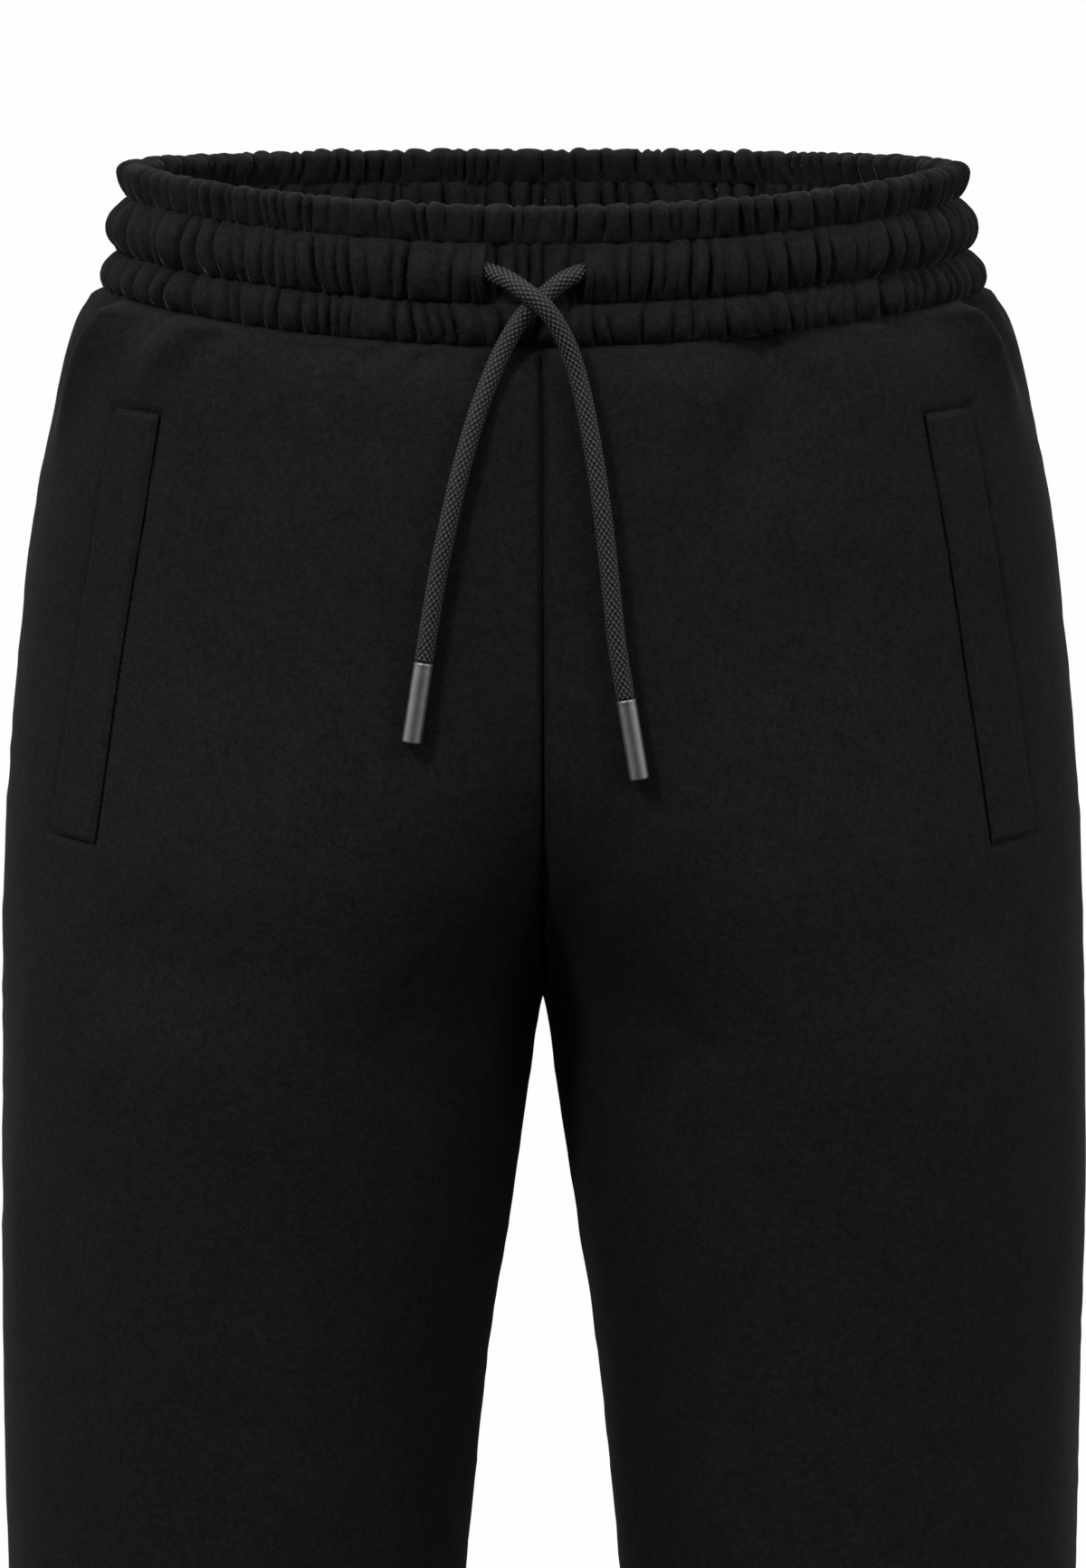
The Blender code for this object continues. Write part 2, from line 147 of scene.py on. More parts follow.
MAIN_FOLDS = (
    Fold("front_left", 0.066, -0.022, 0.034, -0.076, 0.011, 0.0055),
    Fold("front_left", 0.040, -0.022, 0.016, -0.070, 0.012, -0.0050),
    Fold("front_left", 0.150, -0.026, 0.196, -0.110, 0.022, -0.0038),
    Fold("front_left", 0.090, -0.250, 0.200, -0.290, 0.022, -0.0030),
    Fold("front_right", 0.060, -0.022, 0.032, -0.094, 0.011, 0.0055),
    Fold("front_right", 0.036, -0.022, 0.014, -0.078, 0.012, -0.0050),
    Fold("front_right", 0.104, -0.022, 0.086, -0.068, 0.013, 0.0035),
    Fold("front_right", 0.100, -0.255, 0.200, -0.285, 0.022, -0.0030),
    Fold("back_left", 0.050, -0.022, 0.018, -0.090, 0.016, 0.0045),
    Fold("back_left", 0.120, -0.022, 0.150, -0.110, 0.022, -0.0035),
    Fold("back_left", 0.190, -0.318, 0.050, -0.345, 0.022, -0.0050),
    Fold("back_right", 0.056, -0.022, 0.024, -0.080, 0.016, 0.0045),
    Fold("back_right", 0.132, -0.022, 0.115, -0.120, 0.022, -0.0035),
    Fold("back_right", 0.200, -0.322, 0.060, -0.336, 0.022, -0.0050),
)

# Sharper creases under the waist seam, which die away downwards
SEAM_CREASES = (
    Fold("front_left", 0.060, -0.024, 0.036, -0.062, 0.0050, 0.0026),
    Fold("front_left", 0.045, -0.023, 0.026, -0.058, 0.0060, -0.0028),
    Fold("front_left", 0.149, -0.0225, 0.214, -0.128, 0.0100, -0.0048),
    Fold("front_left", 0.170, -0.0225, 0.206, -0.086, 0.0080, 0.0022),
    Fold("front_left", 0.200, -0.0225, 0.2085, -0.046, 0.0034, -0.0020),
    Fold("front_left", 0.207, -0.024, 0.214, -0.050, 0.0040, 0.0011),
    Fold("front_left", 0.100, -0.0225, 0.094, -0.042, 0.0060, -0.0013),
    Fold("front_left", 0.124, -0.0225, 0.121, -0.040, 0.0050, -0.0011),
    Fold("front_right", 0.058, -0.023, 0.036, -0.084, 0.0055, 0.0026),
    Fold("front_right", 0.043, -0.023, 0.024, -0.068, 0.0060, -0.0028),
    Fold("front_right", 0.101, -0.0225, 0.090, -0.064, 0.0080, 0.0022),
    Fold("front_right", 0.114, -0.0225, 0.107, -0.058, 0.0070, -0.0020),
    Fold("front_right", 0.138, -0.0225, 0.150, -0.036, 0.0048, -0.0020),
    Fold("front_right", 0.1705, -0.0225, 0.181, -0.034, 0.0032, -0.0030),
    Fold("front_right", 0.176, -0.0225, 0.189, -0.038, 0.0040, 0.0013),
    Fold("front_right", 0.205, -0.0225, 0.212, -0.042, 0.0050, -0.0013),
    Fold("back_left", 0.040, -0.023, 0.022, -0.060, 0.0050, 0.0016),
    Fold("back_left", 0.082, -0.023, 0.092, -0.060, 0.0060, -0.0014),
    Fold("back_left", 0.160, -0.023, 0.166, -0.048, 0.0050, -0.0015),
    Fold("back_left", 0.198, -0.023, 0.190, -0.070, 0.0070, 0.0012),
    Fold("back_right", 0.046, -0.023, 0.026, -0.064, 0.0050, 0.0016),
    Fold("back_right", 0.094, -0.023, 0.100, -0.052, 0.0060, -0.0014),
    Fold("back_right", 0.150, -0.023, 0.160, -0.066, 0.0060, -0.0012),
    Fold("back_right", 0.204, -0.023, 0.200, -0.050, 0.0050, -0.0014),
)

# Long soft creases that die away at both ends: across the thighs, under the seat and at the knees
LONG_CREASES = (
    Fold("front_left", 0.205, -0.255, 0.262, -0.325, 0.0110, -0.0022),
    Fold("front_left", 0.080, -0.235, 0.120, -0.420, 0.0220, 0.0012),
    Fold("front_left", 0.190, -0.190, 0.240, -0.270, 0.0130, 0.0014),
    Fold("front_left", 0.060, -0.610, 0.240, -0.585, 0.0140, -0.0026),
    Fold("front_left", 0.030, -0.672, 0.200, -0.655, 0.0120, -0.0022),
    Fold("front_left", 0.070, -0.800, 0.180, -0.780, 0.0120, -0.0020),
    Fold("front_left", 0.040, -0.885, 0.190, -0.872, 0.0100, -0.0028),
    Fold("front_right", 0.200, -0.250, 0.258, -0.330, 0.0120, -0.0020),
    Fold("front_right", 0.090, -0.250, 0.135, -0.440, 0.0240, 0.0012),
    Fold("front_right", 0.186, -0.180, 0.232, -0.262, 0.0140, 0.0012),
    Fold("front_right", 0.050, -0.622, 0.220, -0.600, 0.0150, -0.0024),
    Fold("front_right", 0.080, -0.688, 0.230, -0.662, 0.0110, -0.0022),
    Fold("front_right", 0.030, -0.812, 0.150, -0.796, 0.0120, -0.0022),
    Fold("front_right", 0.060, -0.894, 0.200, -0.876, 0.0100, -0.0026),
    Fold("back_left", 0.060, -0.352, 0.250, -0.330, 0.0100, -0.0024),
    Fold("back_left", 0.040, -0.590, 0.230, -0.566, 0.0130, -0.0030),
    Fold("back_left", 0.070, -0.636, 0.250, -0.622, 0.0110, -0.0034),
    Fold("back_left", 0.030, -0.690, 0.200, -0.700, 0.0130, -0.0028),
    Fold("back_left", 0.060, -0.862, 0.190, -0.880, 0.0110, -0.0030),
    Fold("back_right", 0.070, -0.344, 0.240, -0.336, 0.0100, -0.0024),
    Fold("back_right", 0.050, -0.600, 0.240, -0.572, 0.0140, -0.0028),
    Fold("back_right", 0.040, -0.652, 0.230, -0.630, 0.0110, -0.0034),
    Fold("back_right", 0.080, -0.702, 0.220, -0.716, 0.0120, -0.0026),
    Fold("back_right", 0.050, -0.870, 0.180, -0.850, 0.0110, -0.0030),
)


FOLD_TABLES = (
    (MAIN_FOLDS, Fade.LOWER_END),
    (SEAM_CREASES, Fade.LOWER_END),
    (LONG_CREASES, Fade.BOTH_ENDS),
)
WELT_FACING = 0.66  # share of the cloth's width that it shows to the front at the pockets


class Corner(NamedTuple):
    """A corner of a pocket: distance out from the middle plane, and its level."""

    reach: float
    level: float

    def on_cloth(self) -> tuple[float, float]:
        """The corner with its distance measured on the cloth, which turns away from the front there."""
        return self.reach / WELT_FACING, self.level


class Groove(NamedTuple):
    """A stitched groove along one edge of a pocket."""

    start: Corner
    end: Corner
    depth: float
    width: float


WELT_TOP_OUTER = Corner(0.1535, -0.0580)
WELT_TOP_INNER = Corner(0.1368, -0.0580)
WELT_BOTTOM_INNER = Corner(0.1625, -0.2170)
WELT_BOTTOM_OUTER = Corner(0.1790, -0.2155)
WELT_FOOT_LEVEL = -0.2165  # about where the strip's rounded lower end lies
POCKET_GROOVES = (
    Groove(WELT_TOP_INNER, WELT_BOTTOM_INNER, 0.0018, 0.0014),
    Groove(WELT_TOP_OUTER, WELT_TOP_INNER, 0.0016, 0.0012),
    Groove(WELT_BOTTOM_OUTER, WELT_BOTTOM_INNER, 0.0016, 0.0012),
    Groove(WELT_TOP_OUTER, WELT_BOTTOM_OUTER, 0.0010, 0.0018),
)

# Where each cord end starts, out of sight inside the band
CORD_RIGHT_START = ((-0.0275, -0.1030, -0.0086), (-0.0236, -0.1062, -0.0087))
CORD_LEFT_START = ((0.0215, -0.1034, -0.0086), (0.0178, -0.1066, -0.0088))

CORD_RIGHT_ROUTE = (
    (-0.0192, -0.1104, -0.0090),
    (-0.0130, -0.1165, -0.0108),
    (-0.0060, -0.1223, -0.0150),
    (0.0010, -0.1240, -0.0208),
    (0.0070, -0.1236, -0.0300),
    (0.0112, -0.1228, -0.0410),
    (0.0145, -0.1234, -0.0540),
    (0.0175, -0.1246, -0.0700),
    (0.0203, -0.1258, -0.0880),
    (0.0225, -0.1264, -0.1060),
    (0.0243, -0.1268, -0.1230),
    (0.0262, -0.1270, -0.1400),
    (0.0292, -0.1268, -0.1580),
)
CORD_LEFT_ROUTE = (
    (0.0135, -0.1104, -0.0092),
    (0.0075, -0.1132, -0.0115),
    (0.0000, -0.1152, -0.0172),
    (-0.0070, -0.1172, -0.0240),
    (-0.0130, -0.1184, -0.0335),
    (-0.0183, -0.1204, -0.0450),
    (-0.0235, -0.1222, -0.0590),
    (-0.0285, -0.1242, -0.0760),
    (-0.0328, -0.1254, -0.0940),
    (-0.0365, -0.1258, -0.1115),
    (-0.0395, -0.1260, -0.1290),
    (-0.0420, -0.1260, -0.1450),
)


# ---------------------------------------------------------------------------------------- arithmetic


def eased(share: Array) -> Array:
    """A smooth step: 3t^2 - 2t^3 with t kept between 0 and 1."""
    kept = np.clip(share, 0.0, 1.0)
    return kept * kept * (3.0 - 2.0 * kept)


def within(margin: Array, width: float) -> Array:
    """1 where the margin is above nought and 0 where it is below, eased over this width."""
    return eased(margin / width + 0.5)


def sine_arch(share: Array, power: float) -> Array:
    """sin(pi t)^power, from nought at both ends to 1 at the middle."""
    return np.clip(np.sin(math.pi * share), 0.0, 1.0) ** power


def bell(away: Array, width: float | Array) -> Array:
    """The bell curve exp(-(away / width)^2)."""
    return np.exp(-((away / width) ** 2))


def unit(vectors: Array) -> Array:
    """The vectors along the last axis, each divided by its length."""
    return vectors / np.maximum(np.linalg.norm(vectors, axis=-1, keepdims=True), 1e-12)


def stack(x: Array, y: Array, z: Array) -> Array:
    """Points from their three coordinates."""
    return np.stack(np.broadcast_arrays(x, y, z), axis=-1)


def crowded(
    count: int, dense: tuple[tuple[float, float, float], ...], low: float, high: float
) -> Array:
    """Steps from low to high that are closer together in places.

    The density at t is 1 plus, for each dense place, weight * exp(-((t - middle) / width)^2), and the
    steps are even along the density's running sum.

    Args:
        count: How many steps, both ends included.
        dense: Middle, width and weight of each place.
        low: The first step.
        high: The last step.

    Returns:
        The steps, rising from low to high.
    """
    fine = np.linspace(low, high, 6000)
    density = np.ones_like(fine)
    for middle, width, weight in dense:
        density += weight * bell(fine - middle, width)
    passed = running((density[1:] + density[:-1]) / 2)
    return np.interp(np.linspace(0.0, passed[-1], count), passed, fine)


def running(steps: Array) -> Array:
    """The running sum of the steps, from nought."""
    return np.concatenate([[0.0], np.cumsum(steps)])


def path_runs(points: Array) -> Array:
    """Distance along a path at each of its points."""
    return running(np.linalg.norm(np.diff(points, axis=0), axis=1))


def span_of(place: Array, edges: Array) -> Array:
    """Number of the span between two edges that each place lies in."""
    return np.clip(np.searchsorted(edges, place, side="right") - 1, 0, len(edges) - 2)


def at_runs(stops: Array, runs: Array, points: Array) -> Array:
    """A path's points at these distances along it."""
    return np.stack([np.interp(stops, runs, points[:, k]) for k in range(3)], axis=-1)


def full_turn(count: int) -> Array:
    """Angles of this many even steps round a circle."""
    return np.linspace(0, 2 * math.pi, count, endpoint=False)


def segment_place(
    s: Array, z: Array, start: tuple[float, float], end: tuple[float, float]
) -> tuple[Array, Array]:
    """Where points of an unrolled panel lie by a line on it.

    Args:
        s: Distances round the panel.
        z: Levels.
        start: The line's upper end, as distance and level.
        end: Its lower end.

    Returns:
        The share along the line of each point's foot, and the point's distance from the line.
    """
    run_s, run_z = end[0] - start[0], end[1] - start[1]
    share = ((s - start[0]) * run_s + (z - start[1]) * run_z) / (run_s**2 + run_z**2)
    share = np.clip(share, 0.0, 1.0)
    away = np.hypot(s - start[0] - share * run_s, z - start[1] - share * run_z)
    return share, away


class SoftNoise:
    """Smooth noise of two coordinates, from -1 to 1, eased between random values on a lattice."""

    def __init__(self, seed: int, cell: tuple[float, float], cells: int = 64) -> None:
        """Draws the lattice.

        Args:
            seed: What the values are drawn from.
            cell: The lattice's spacing in each coordinate.
            cells: After how many cells it repeats.
        """
        self.cell = cell
        self.cells = cells
        self.lattice = np.random.default_rng(seed).uniform(-1.0, 1.0, (cells, cells))

    def __call__(self, u: Array, v: Array) -> Array:
        """The noise at u, v."""
        u, v = np.broadcast_arrays(u / self.cell[0], v / self.cell[1])
        column, row = np.floor(u).astype(int), np.floor(v).astype(int)
        across, down = eased(u - column), eased(v - row)
        corner = [
            self.lattice[(column + i) % self.cells, (row + j) % self.cells]
            for i in (0, 1)
            for j in (0, 1)
        ]
        near = corner[0] * (1 - down) + corner[1] * down
        far = corner[2] * (1 - down) + corner[3] * down
        return near * (1 - across) + far * across


SEAM_MEETING = SoftNoise(17, (1.0, 0.018))


def smooth_route(points: tuple[tuple[float, float, float], ...], spacing: float) -> Array:
    """Even steps along a curve that runs smoothly through the route's own points.

    Between points b and c, with a before and d after, the curve is
    b + ((c - a) t + (2a - 5b + 4c - d) t^2 + (3b - a - 3c + d) t^3) / 2.

    Args:
        points: The route.
        spacing: The distance between steps.

    Returns:
        The steps, one row each.
    """
    anchors = np.array(points)
    padded = np.vstack([2 * anchors[:1] - anchors[1:2], anchors, 2 * anchors[-1:] - anchors[-2:-1]])
    a, b, c, d = (padded[k : len(padded) - 3 + k, None, :] for k in range(4))
    t = np.linspace(0.0, 1.0, 40, endpoint=False)[None, :, None]
    curve = b + ((c - a) * t + (2 * a - 5 * b + 4 * c - d) * t**2 + (3 * b - a - 3 * c + d) * t**3) / 2
    curve = np.vstack([curve.reshape(-1, 3), anchors[-1:]])
    runs = path_runs(curve)
    return at_runs(np.linspace(0.0, runs[-1], int(round(runs[-1] / spacing)) + 1), runs, curve)


# --------------------------------------------------------------------------------------------- meshes


def grid_quads(rows: int, columns: int, loop_rows: bool = False, loop_columns: bool = False) -> Array:
    """The quads of a grid of points that are numbered row by row.

    Args:
        rows: Points from top to bottom.
        columns: Points across.
        loop_rows: Whether the last row joins the first.
        loop_columns: Whether the last column joins the first.

    Returns:
        Four point numbers a quad.
    """
    row = np.arange(rows if loop_rows else rows - 1)[:, None]
    column = np.arange(columns if loop_columns else columns - 1)[None, :]
    below, right = (row + 1) % rows, (column + 1) % columns
    corners = ((row, column), (below, column), (below, right), (row, right))
    return np.stack([down * columns + across for down, across in corners], axis=-1).reshape(-1, 4)


def quad_mesh(name: str, points: Array, quads: Array, uv: Array | None = None) -> bpy.types.Mesh:
    """A mesh of quads that all face outwards.

    Args:
        name: The mesh's name.
        points: Its points, one row each.
        quads: Four point numbers a quad.
        uv: Where each point lies on the unrolled cloth, in metres.

    Returns:
        The mesh, shaded smooth with its rims sharp.
    """
    corners = points[quads]
    volume = np.einsum("ij,ij->i", corners[:, 0], np.cross(corners[:, 1], corners[:, 2])).sum()
    volume += np.einsum("ij,ij->i", corners[:, 0], np.cross(corners[:, 2], corners[:, 3])).sum()
    if volume < 0:
        quads = quads[:, ::-1]
    mesh = bpy.data.meshes.new(name)
    mesh.vertices.add(len(points))
    mesh.vertices.foreach_set("co", points.astype(np.float32).ravel())
    mesh.loops.add(quads.size)
    mesh.loops.foreach_set("vertex_index", quads.astype(np.int32).ravel())
    mesh.polygons.add(len(quads))
    mesh.polygons.foreach_set("loop_start", np.arange(0, quads.size, 4, dtype=np.int32))
    if uv is not None:
        layer = mesh.uv_layers.new(name="cloth")
        layer.data.foreach_set("uv", uv[quads].astype(np.float32).ravel())
    mesh.update(calc_edges=True)
    mesh.validate()
    mesh.shade_smooth()
    mesh.set_sharp_from_angle(angle=SHARP_ANGLE)
    return mesh


def wall_mesh(name: str, outer: Array, inner: Array, uv: Array) -> bpy.types.Mesh:
    """A closed wall between two grids of points, with its four rims.

    Args:
        name: The mesh's name.
        outer: Rows and columns of points on the outer face.
        inner: The same on the inner face.
        uv: Rows and columns of places on the unrolled cloth.

    Returns:
        The mesh.
    """
    rows, columns = outer.shape[:2]
    count = rows * columns
    face = grid_quads(rows, columns)
    number = np.arange(count).reshape(rows, columns)
    rim = np.concatenate([number[0, :], number[1:, -1], number[-1, -2::-1], number[-2:0:-1, 0]])
    ahead = np.roll(rim, -1)
    rims = np.stack([rim, ahead, ahead + count, rim + count], axis=1)
    quads = np.vstack([face, face[:, ::-1] + count, rims])
    points = np.vstack([outer.reshape(-1, 3), inner.reshape(-1, 3)])
    flat = uv.reshape(-1, 2)
    return quad_mesh(name, points, quads, np.vstack([flat, flat]))


def ring_mesh(name: str, cut: Array, across: Array, down: Array) -> bpy.types.Mesh:
    """A closed ring whose rows and columns of points both join up.

    Args:
        name: The mesh's name.
        cut: Its points, with the ring's cut down the rows.
        across: Each column's place across the unrolled cloth.
        down: Each row's place down it.

    Returns:
        The mesh.
    """
    uv = np.stack(np.broadcast_arrays(across, down), axis=-1)
    quads = grid_quads(*cut.shape[:2], loop_rows=True, loop_columns=True)
    return quad_mesh(name, cut.reshape(-1, 3), quads, uv.reshape(-1, 2))


def grid_normals(points: Array) -> Array:
    """Unit normals of a grid of points: across its rows crossed with down its columns."""
    return unit(np.cross(np.gradient(points, axis=1), np.gradient(points, axis=0)))


def turned_ring(path: Array, radius: Array, angles: Array) -> Array:
    """Rings round a path, each square to it and none twisted against the last.

    The ring's point at angle q is path + radius * (cos q * first + sin q * second), where first is
    carried along the path and straightened against its direction at each step.

    Args:
        path: Ring centres, one row each.
        radius: Rings by angles of radii.
        angles: The angles round a ring.

    Returns:
        Rings by angles of points.
    """
    along = unit(np.gradient(path, axis=0))
    firsts = np.empty_like(along)
    carried = np.array([0.0, -1.0, 0.0])
    for step, ahead in enumerate(along):
        carried = carried - ahead * float(carried @ ahead)
        carried = carried / np.linalg.norm(carried)
        firsts[step] = carried
    seconds = np.cross(along, firsts)
    across, up = np.cos(angles)[None, :, None], np.sin(angles)[None, :, None]
    ways = across * firsts[:, None, :] + up * seconds[:, None, :]
    return path[:, None, :] + radius[..., None] * ways


def settle(name: str, mesh: bpy.types.Mesh, finish: bpy.types.Material) -> bpy.types.Object:
    """Makes a finished piece of a mesh and lets it ride on the garment.

    Args:
        name: The piece's name.
        mesh: Its mesh, already in place.
        finish: Its material.

    Returns:
        The piece.
    """
    mesh.materials.append(finish)
    piece = bpy.data.objects.new(name, mesh)
    bpy.context.scene.collection.objects.link(piece)
    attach(piece, "root")
    LOG.info("%s: %d quads", name, len(mesh.polygons))
    return piece


# ------------------------------------------------------------------------------------------ finishes


@dataclass(frozen=True)
class Signal:
    """A number that varies over a surface, which takes Python's arithmetic."""

    graph: "Graph"
    socket: bpy.types.NodeSocket

    def _maths(self, operation: str, *values: "Signal | float") -> "Signal":
        """One Math node on these values."""
        return self.graph.add("ShaderNodeMath", {"operation": operation}, dict(enumerate(values))).out()

    def __add__(self, other: "Signal | float") -> "Signal":
        """self + other."""
        return self._maths("ADD", self, other)

    def __radd__(self, other: float) -> "Signal":
        """other + self."""
        return self._maths("ADD", other, self)

    def __sub__(self, other: "Signal | float") -> "Signal":
        """self - other."""
        return self._maths("SUBTRACT", self, other)

    def __rsub__(self, other: float) -> "Signal":
        """other - self."""
        return self._maths("SUBTRACT", other, self)

    def __mul__(self, other: "Signal | float") -> "Signal":
        """self * other."""
        return self._maths("MULTIPLY", self, other)

    def sine(self) -> "Signal":
        """The sine of self, in radians."""
        return self._maths("SINE", self)

    def size(self) -> "Signal":
        """The size of self without its sign."""
        return self._maths("ABSOLUTE", self)


@dataclass(frozen=True)
class Placed:
    """A node that has been added to a graph."""

    graph: "Graph"
    node: bpy.types.Node

    def out(self, name: str | int = 0) -> Signal:
        """One of the node's outputs."""
        return Signal(self.graph, self.node.outputs[name])


class Graph:
    """The nodes of one material, round its Principled shader, or of the surroundings."""

    tree: bpy.types.NodeTree

    def __init__(self, name: str, **fixed: Any) -> None:
        """Starts a material.

        Args:
            name: Its name.
            fixed: The shader's sockets that are the same all over, with underscores for spaces.
        """
        self.material = bpy.data.materials.new(name)
        self.material.use_nodes = True
        self.tree = self.material.node_tree
        self.shader = self.tree.nodes["Principled BSDF"]
        for socket, value in fixed.items():
            self.shader.inputs[socket.replace("_", " ")].default_value = value

    @classmethod
    def of_world(cls, world: bpy.types.World) -> "Graph":
        """The nodes of the surroundings, which have no Principled shader."""
        graph = cls.__new__(cls)
        graph.tree = world.node_tree
        return graph

    def add(
        self, kind: str, settings: dict[str, Any] | None = None, sockets: dict[Any, Any] | None = None
    ) -> Placed:
        """Adds a node.

        Args:
            kind: The node's type.
            settings: Its properties, and for a ramp its stops as (place, colour) pairs.
            sockets: Values, or signals to link, by input name or number.

        Returns:
            The node.
        """
        node = self.tree.nodes.new(kind)
        for key, value in (settings or {}).items():
            if key != "stops":
                setattr(node, key, value)
                continue
            for index, (place, colour) in enumerate(value):
                elements = node.color_ramp.elements
                stop = elements[index] if index < 2 else elements.new(place)
                stop.position, stop.color = place, (*colour, 1.0)
        for key, value in (sockets or {}).items():
            if isinstance(value, Signal):
                self.tree.links.new(value.socket, node.inputs[key])
            else:
                node.inputs[key].default_value = value
        return Placed(self, node)

    def feed(self, socket: str, signal: Signal) -> None:
        """Links a signal to one of the shader's sockets."""
        self.tree.links.new(signal.socket, self.shader.inputs[socket])

    def solid(self) -> Signal:
        """Where the surface lies in space."""
        return self.add("ShaderNodeTexCoord").out("Object")

    def cloth(self) -> tuple[Signal, Signal]:
        """Where the surface lies on the unrolled cloth, across and down."""
        place = self.add("ShaderNodeUVMap", {"uv_map": "cloth"}).out("UV")
        parts = self.add("ShaderNodeSeparateXYZ", {}, {0: place})
        return parts.out("X"), parts.out("Y")

    def noise(self, where: Signal, scale: float, detail: float = 2.0, roughness: float = 0.5) -> Signal:
        """Noise from 0 to 1 with this many waves a metre."""
        sockets = {"Vector": where, "Scale": scale, "Detail": detail, "Roughness": roughness}
        return self.add("ShaderNodeTexNoise", {}, sockets).out(0)

    def blend(
        self,
        factor: Signal,
        dark: tuple[float, ...],
        light: tuple[float, ...],
        low: float = 0.0,
        high: float = 1.0,
    ) -> Signal:
        """A colour between two, through a ramp whose stops are at low and high."""
        stops = [(low, dark), (high, light)]
        return self.add("ShaderNodeValToRGB", {"stops": stops}, {"Fac": factor}).out("Color")

    def bumps(self, height: Signal, distance: float, strength: float) -> None:
        """Feeds the shader's normal from a height in shares of a distance in metres."""
        sockets = {"Height": height, "Distance": distance, "Strength": strength}
        self.feed("Normal", self.add("ShaderNodeBump", {}, sockets).out("Normal"))


@dataclass(frozen=True)
class Fleece:
    """Brushed cotton fleece with its fine knitted face outside."""

    name: str = "black_fleece"
    dark: float = 0.0052
    light: float = 0.0160
    wale: float = 0.0011
    course: float = 0.0008
    relief: float = 0.00032
    blueness: float = 1.05
    sheen: tuple[float, ...] = (0.96, 0.92, 1.0, 1.0)

    def material(self) -> bpy.types.Material:
        """Nodes for the knit's columns of stitches, its grain, and a faint unevenness of the dye.

        Returns:
            The material.
        """
        graph = Graph(
            self.name,
            Sheen_Weight=0.15,
            Sheen_Roughness=0.16,
            Sheen_Tint=self.sheen,
            Specular_IOR_Level=0.06,
        )
        solid = graph.solid()
        u, v = graph.cloth()
        column = (u * (math.pi / self.wale)).sine().size()
        stitch = (v * (2 * math.pi / self.course) + column * 2.2).sine() * 0.5 + 0.5
        grain = graph.noise(solid, 1500.0, 3.0, 0.6)
        lint = graph.noise(solid, 420.0, 2.0)
        height = column * 0.16 + stitch * 0.05 + grain * 1.0 + lint * 0.45
        graph.bumps(height, self.relief, 0.75)
        dye = graph.noise(solid, 60.0, 4.0, 0.6)
        shade = dye * 0.12 + grain * 0.60 + lint * 0.28
        dark, light = ((tone, tone, tone * self.blueness) for tone in (self.dark, self.light))
        graph.feed("Base Color", graph.blend(shade, dark, light, 0.36, 0.64))
        graph.feed("Roughness", 0.86 + grain * 0.12)
        return graph.material


@dataclass(frozen=True)
class Rib:
    """Rib knit of the cuffs: the ribs are modelled, and the stitches on them are fine bumps."""

    name: str = "black_rib"
    dark: float = 0.0055
    light: float = 0.0090
    course: float = 0.0011

    def material(self) -> bpy.types.Material:
        """Nodes for small stitches along each rib.

        Returns:
            The material.
        """
        graph = Graph(
            self.name, Roughness=0.92, Sheen_Weight=0.05, Sheen_Roughness=0.30, Specular_IOR_Level=0.06
        )
        solid = graph.solid()
        stitch = (graph.cloth()[1] * (2 * math.pi / self.course)).sine() * 0.5 + 0.5
        grain = graph.noise(solid, 900.0, 3.0)
        graph.bumps(stitch * 0.4 + grain * 0.8, 0.0003, 0.7)
        dark, light = (self.dark,) * 3, (self.light,) * 3
        graph.feed("Base Color", graph.blend(grain, dark, light))
        return graph.material


@dataclass(frozen=True)
class Thread:
    """Spun polyester sewing thread, black and hardly lighter than the cloth."""

    name: str = "black_thread"
    dark: tuple[float, ...] = (0.011, 0.011, 0.012)
    light: tuple[float, ...] = (0.026, 0.026, 0.027)

    def material(self) -> bpy.types.Material:
        """Nodes for a faint twist in the thread.

        Returns:
            The material.
        """
        graph = Graph(self.name, Roughness=0.8, Specular_IOR_Level=0.12)
        grain = graph.noise(graph.solid(), 2600.0, 1.0)
        graph.bumps(grain, 0.0002, 0.5)
        graph.feed("Base Color", graph.blend(grain, self.dark, self.light))
        return graph.material


@dataclass(frozen=True)
class Braid:
    """Braided polyester cord: the yarns are modelled, and each has fine filaments along it."""

    name: str = "charcoal_braid"
    dark: tuple[float, ...] = (0.0010, 0.0010, 0.0012)
    light: tuple[float, ...] = (0.074, 0.074, 0.077)

    def material(self) -> bpy.types.Material:
        """Nodes for painted shade: the colour is darker down between the yarns, where they stand less far
        out.

        Returns:
            The material.
        """
        graph = Graph(self.name, Specular_IOR_Level=0.35)
        solid = graph.solid()
        stand = graph.add("ShaderNodeAttribute", {"attribute_name": "stand"}).out("Fac")
        fibre = graph.noise(solid, 3200.0, 2.0)
        graph.bumps(fibre, 0.0002, 0.5)
        # painted shade: the cord's colour goes almost black where the yarns stand less far out, down
        # between them
        shade = stand * 0.9 + fibre * 0.1
        graph.feed("Base Color", graph.blend(shade, self.dark, self.light, 0.56, 1.0))
        graph.feed("Roughness", 0.62 - stand * 0.12)
        return graph.material


@dataclass(frozen=True)
class Gunmetal:
    """Satin dark metal of the cord tips."""

    name: str = "gunmetal"
    dark: tuple[float, ...] = (0.20, 0.20, 0.205)
    light: tuple[float, ...] = (0.27, 0.27, 0.275)

    def material(self) -> bpy.types.Material:
        """Nodes for fine turning marks and handling wear.

        Returns:
            The material.
        """
        graph = Graph(self.name, Metallic=0.85)
        solid = graph.solid()
        smear = graph.noise(solid, 240.0, 3.0)
        fine = graph.noise(solid, 2500.0, 2.0)
        graph.feed("Base Color", graph.blend(smear, self.dark, self.light))
        graph.feed("Roughness", 0.32 + smear * 0.10)
        graph.bumps(fine, 0.00008, 0.4)
        return graph.material


# ---------------------------------------------------------------------------------------------- form


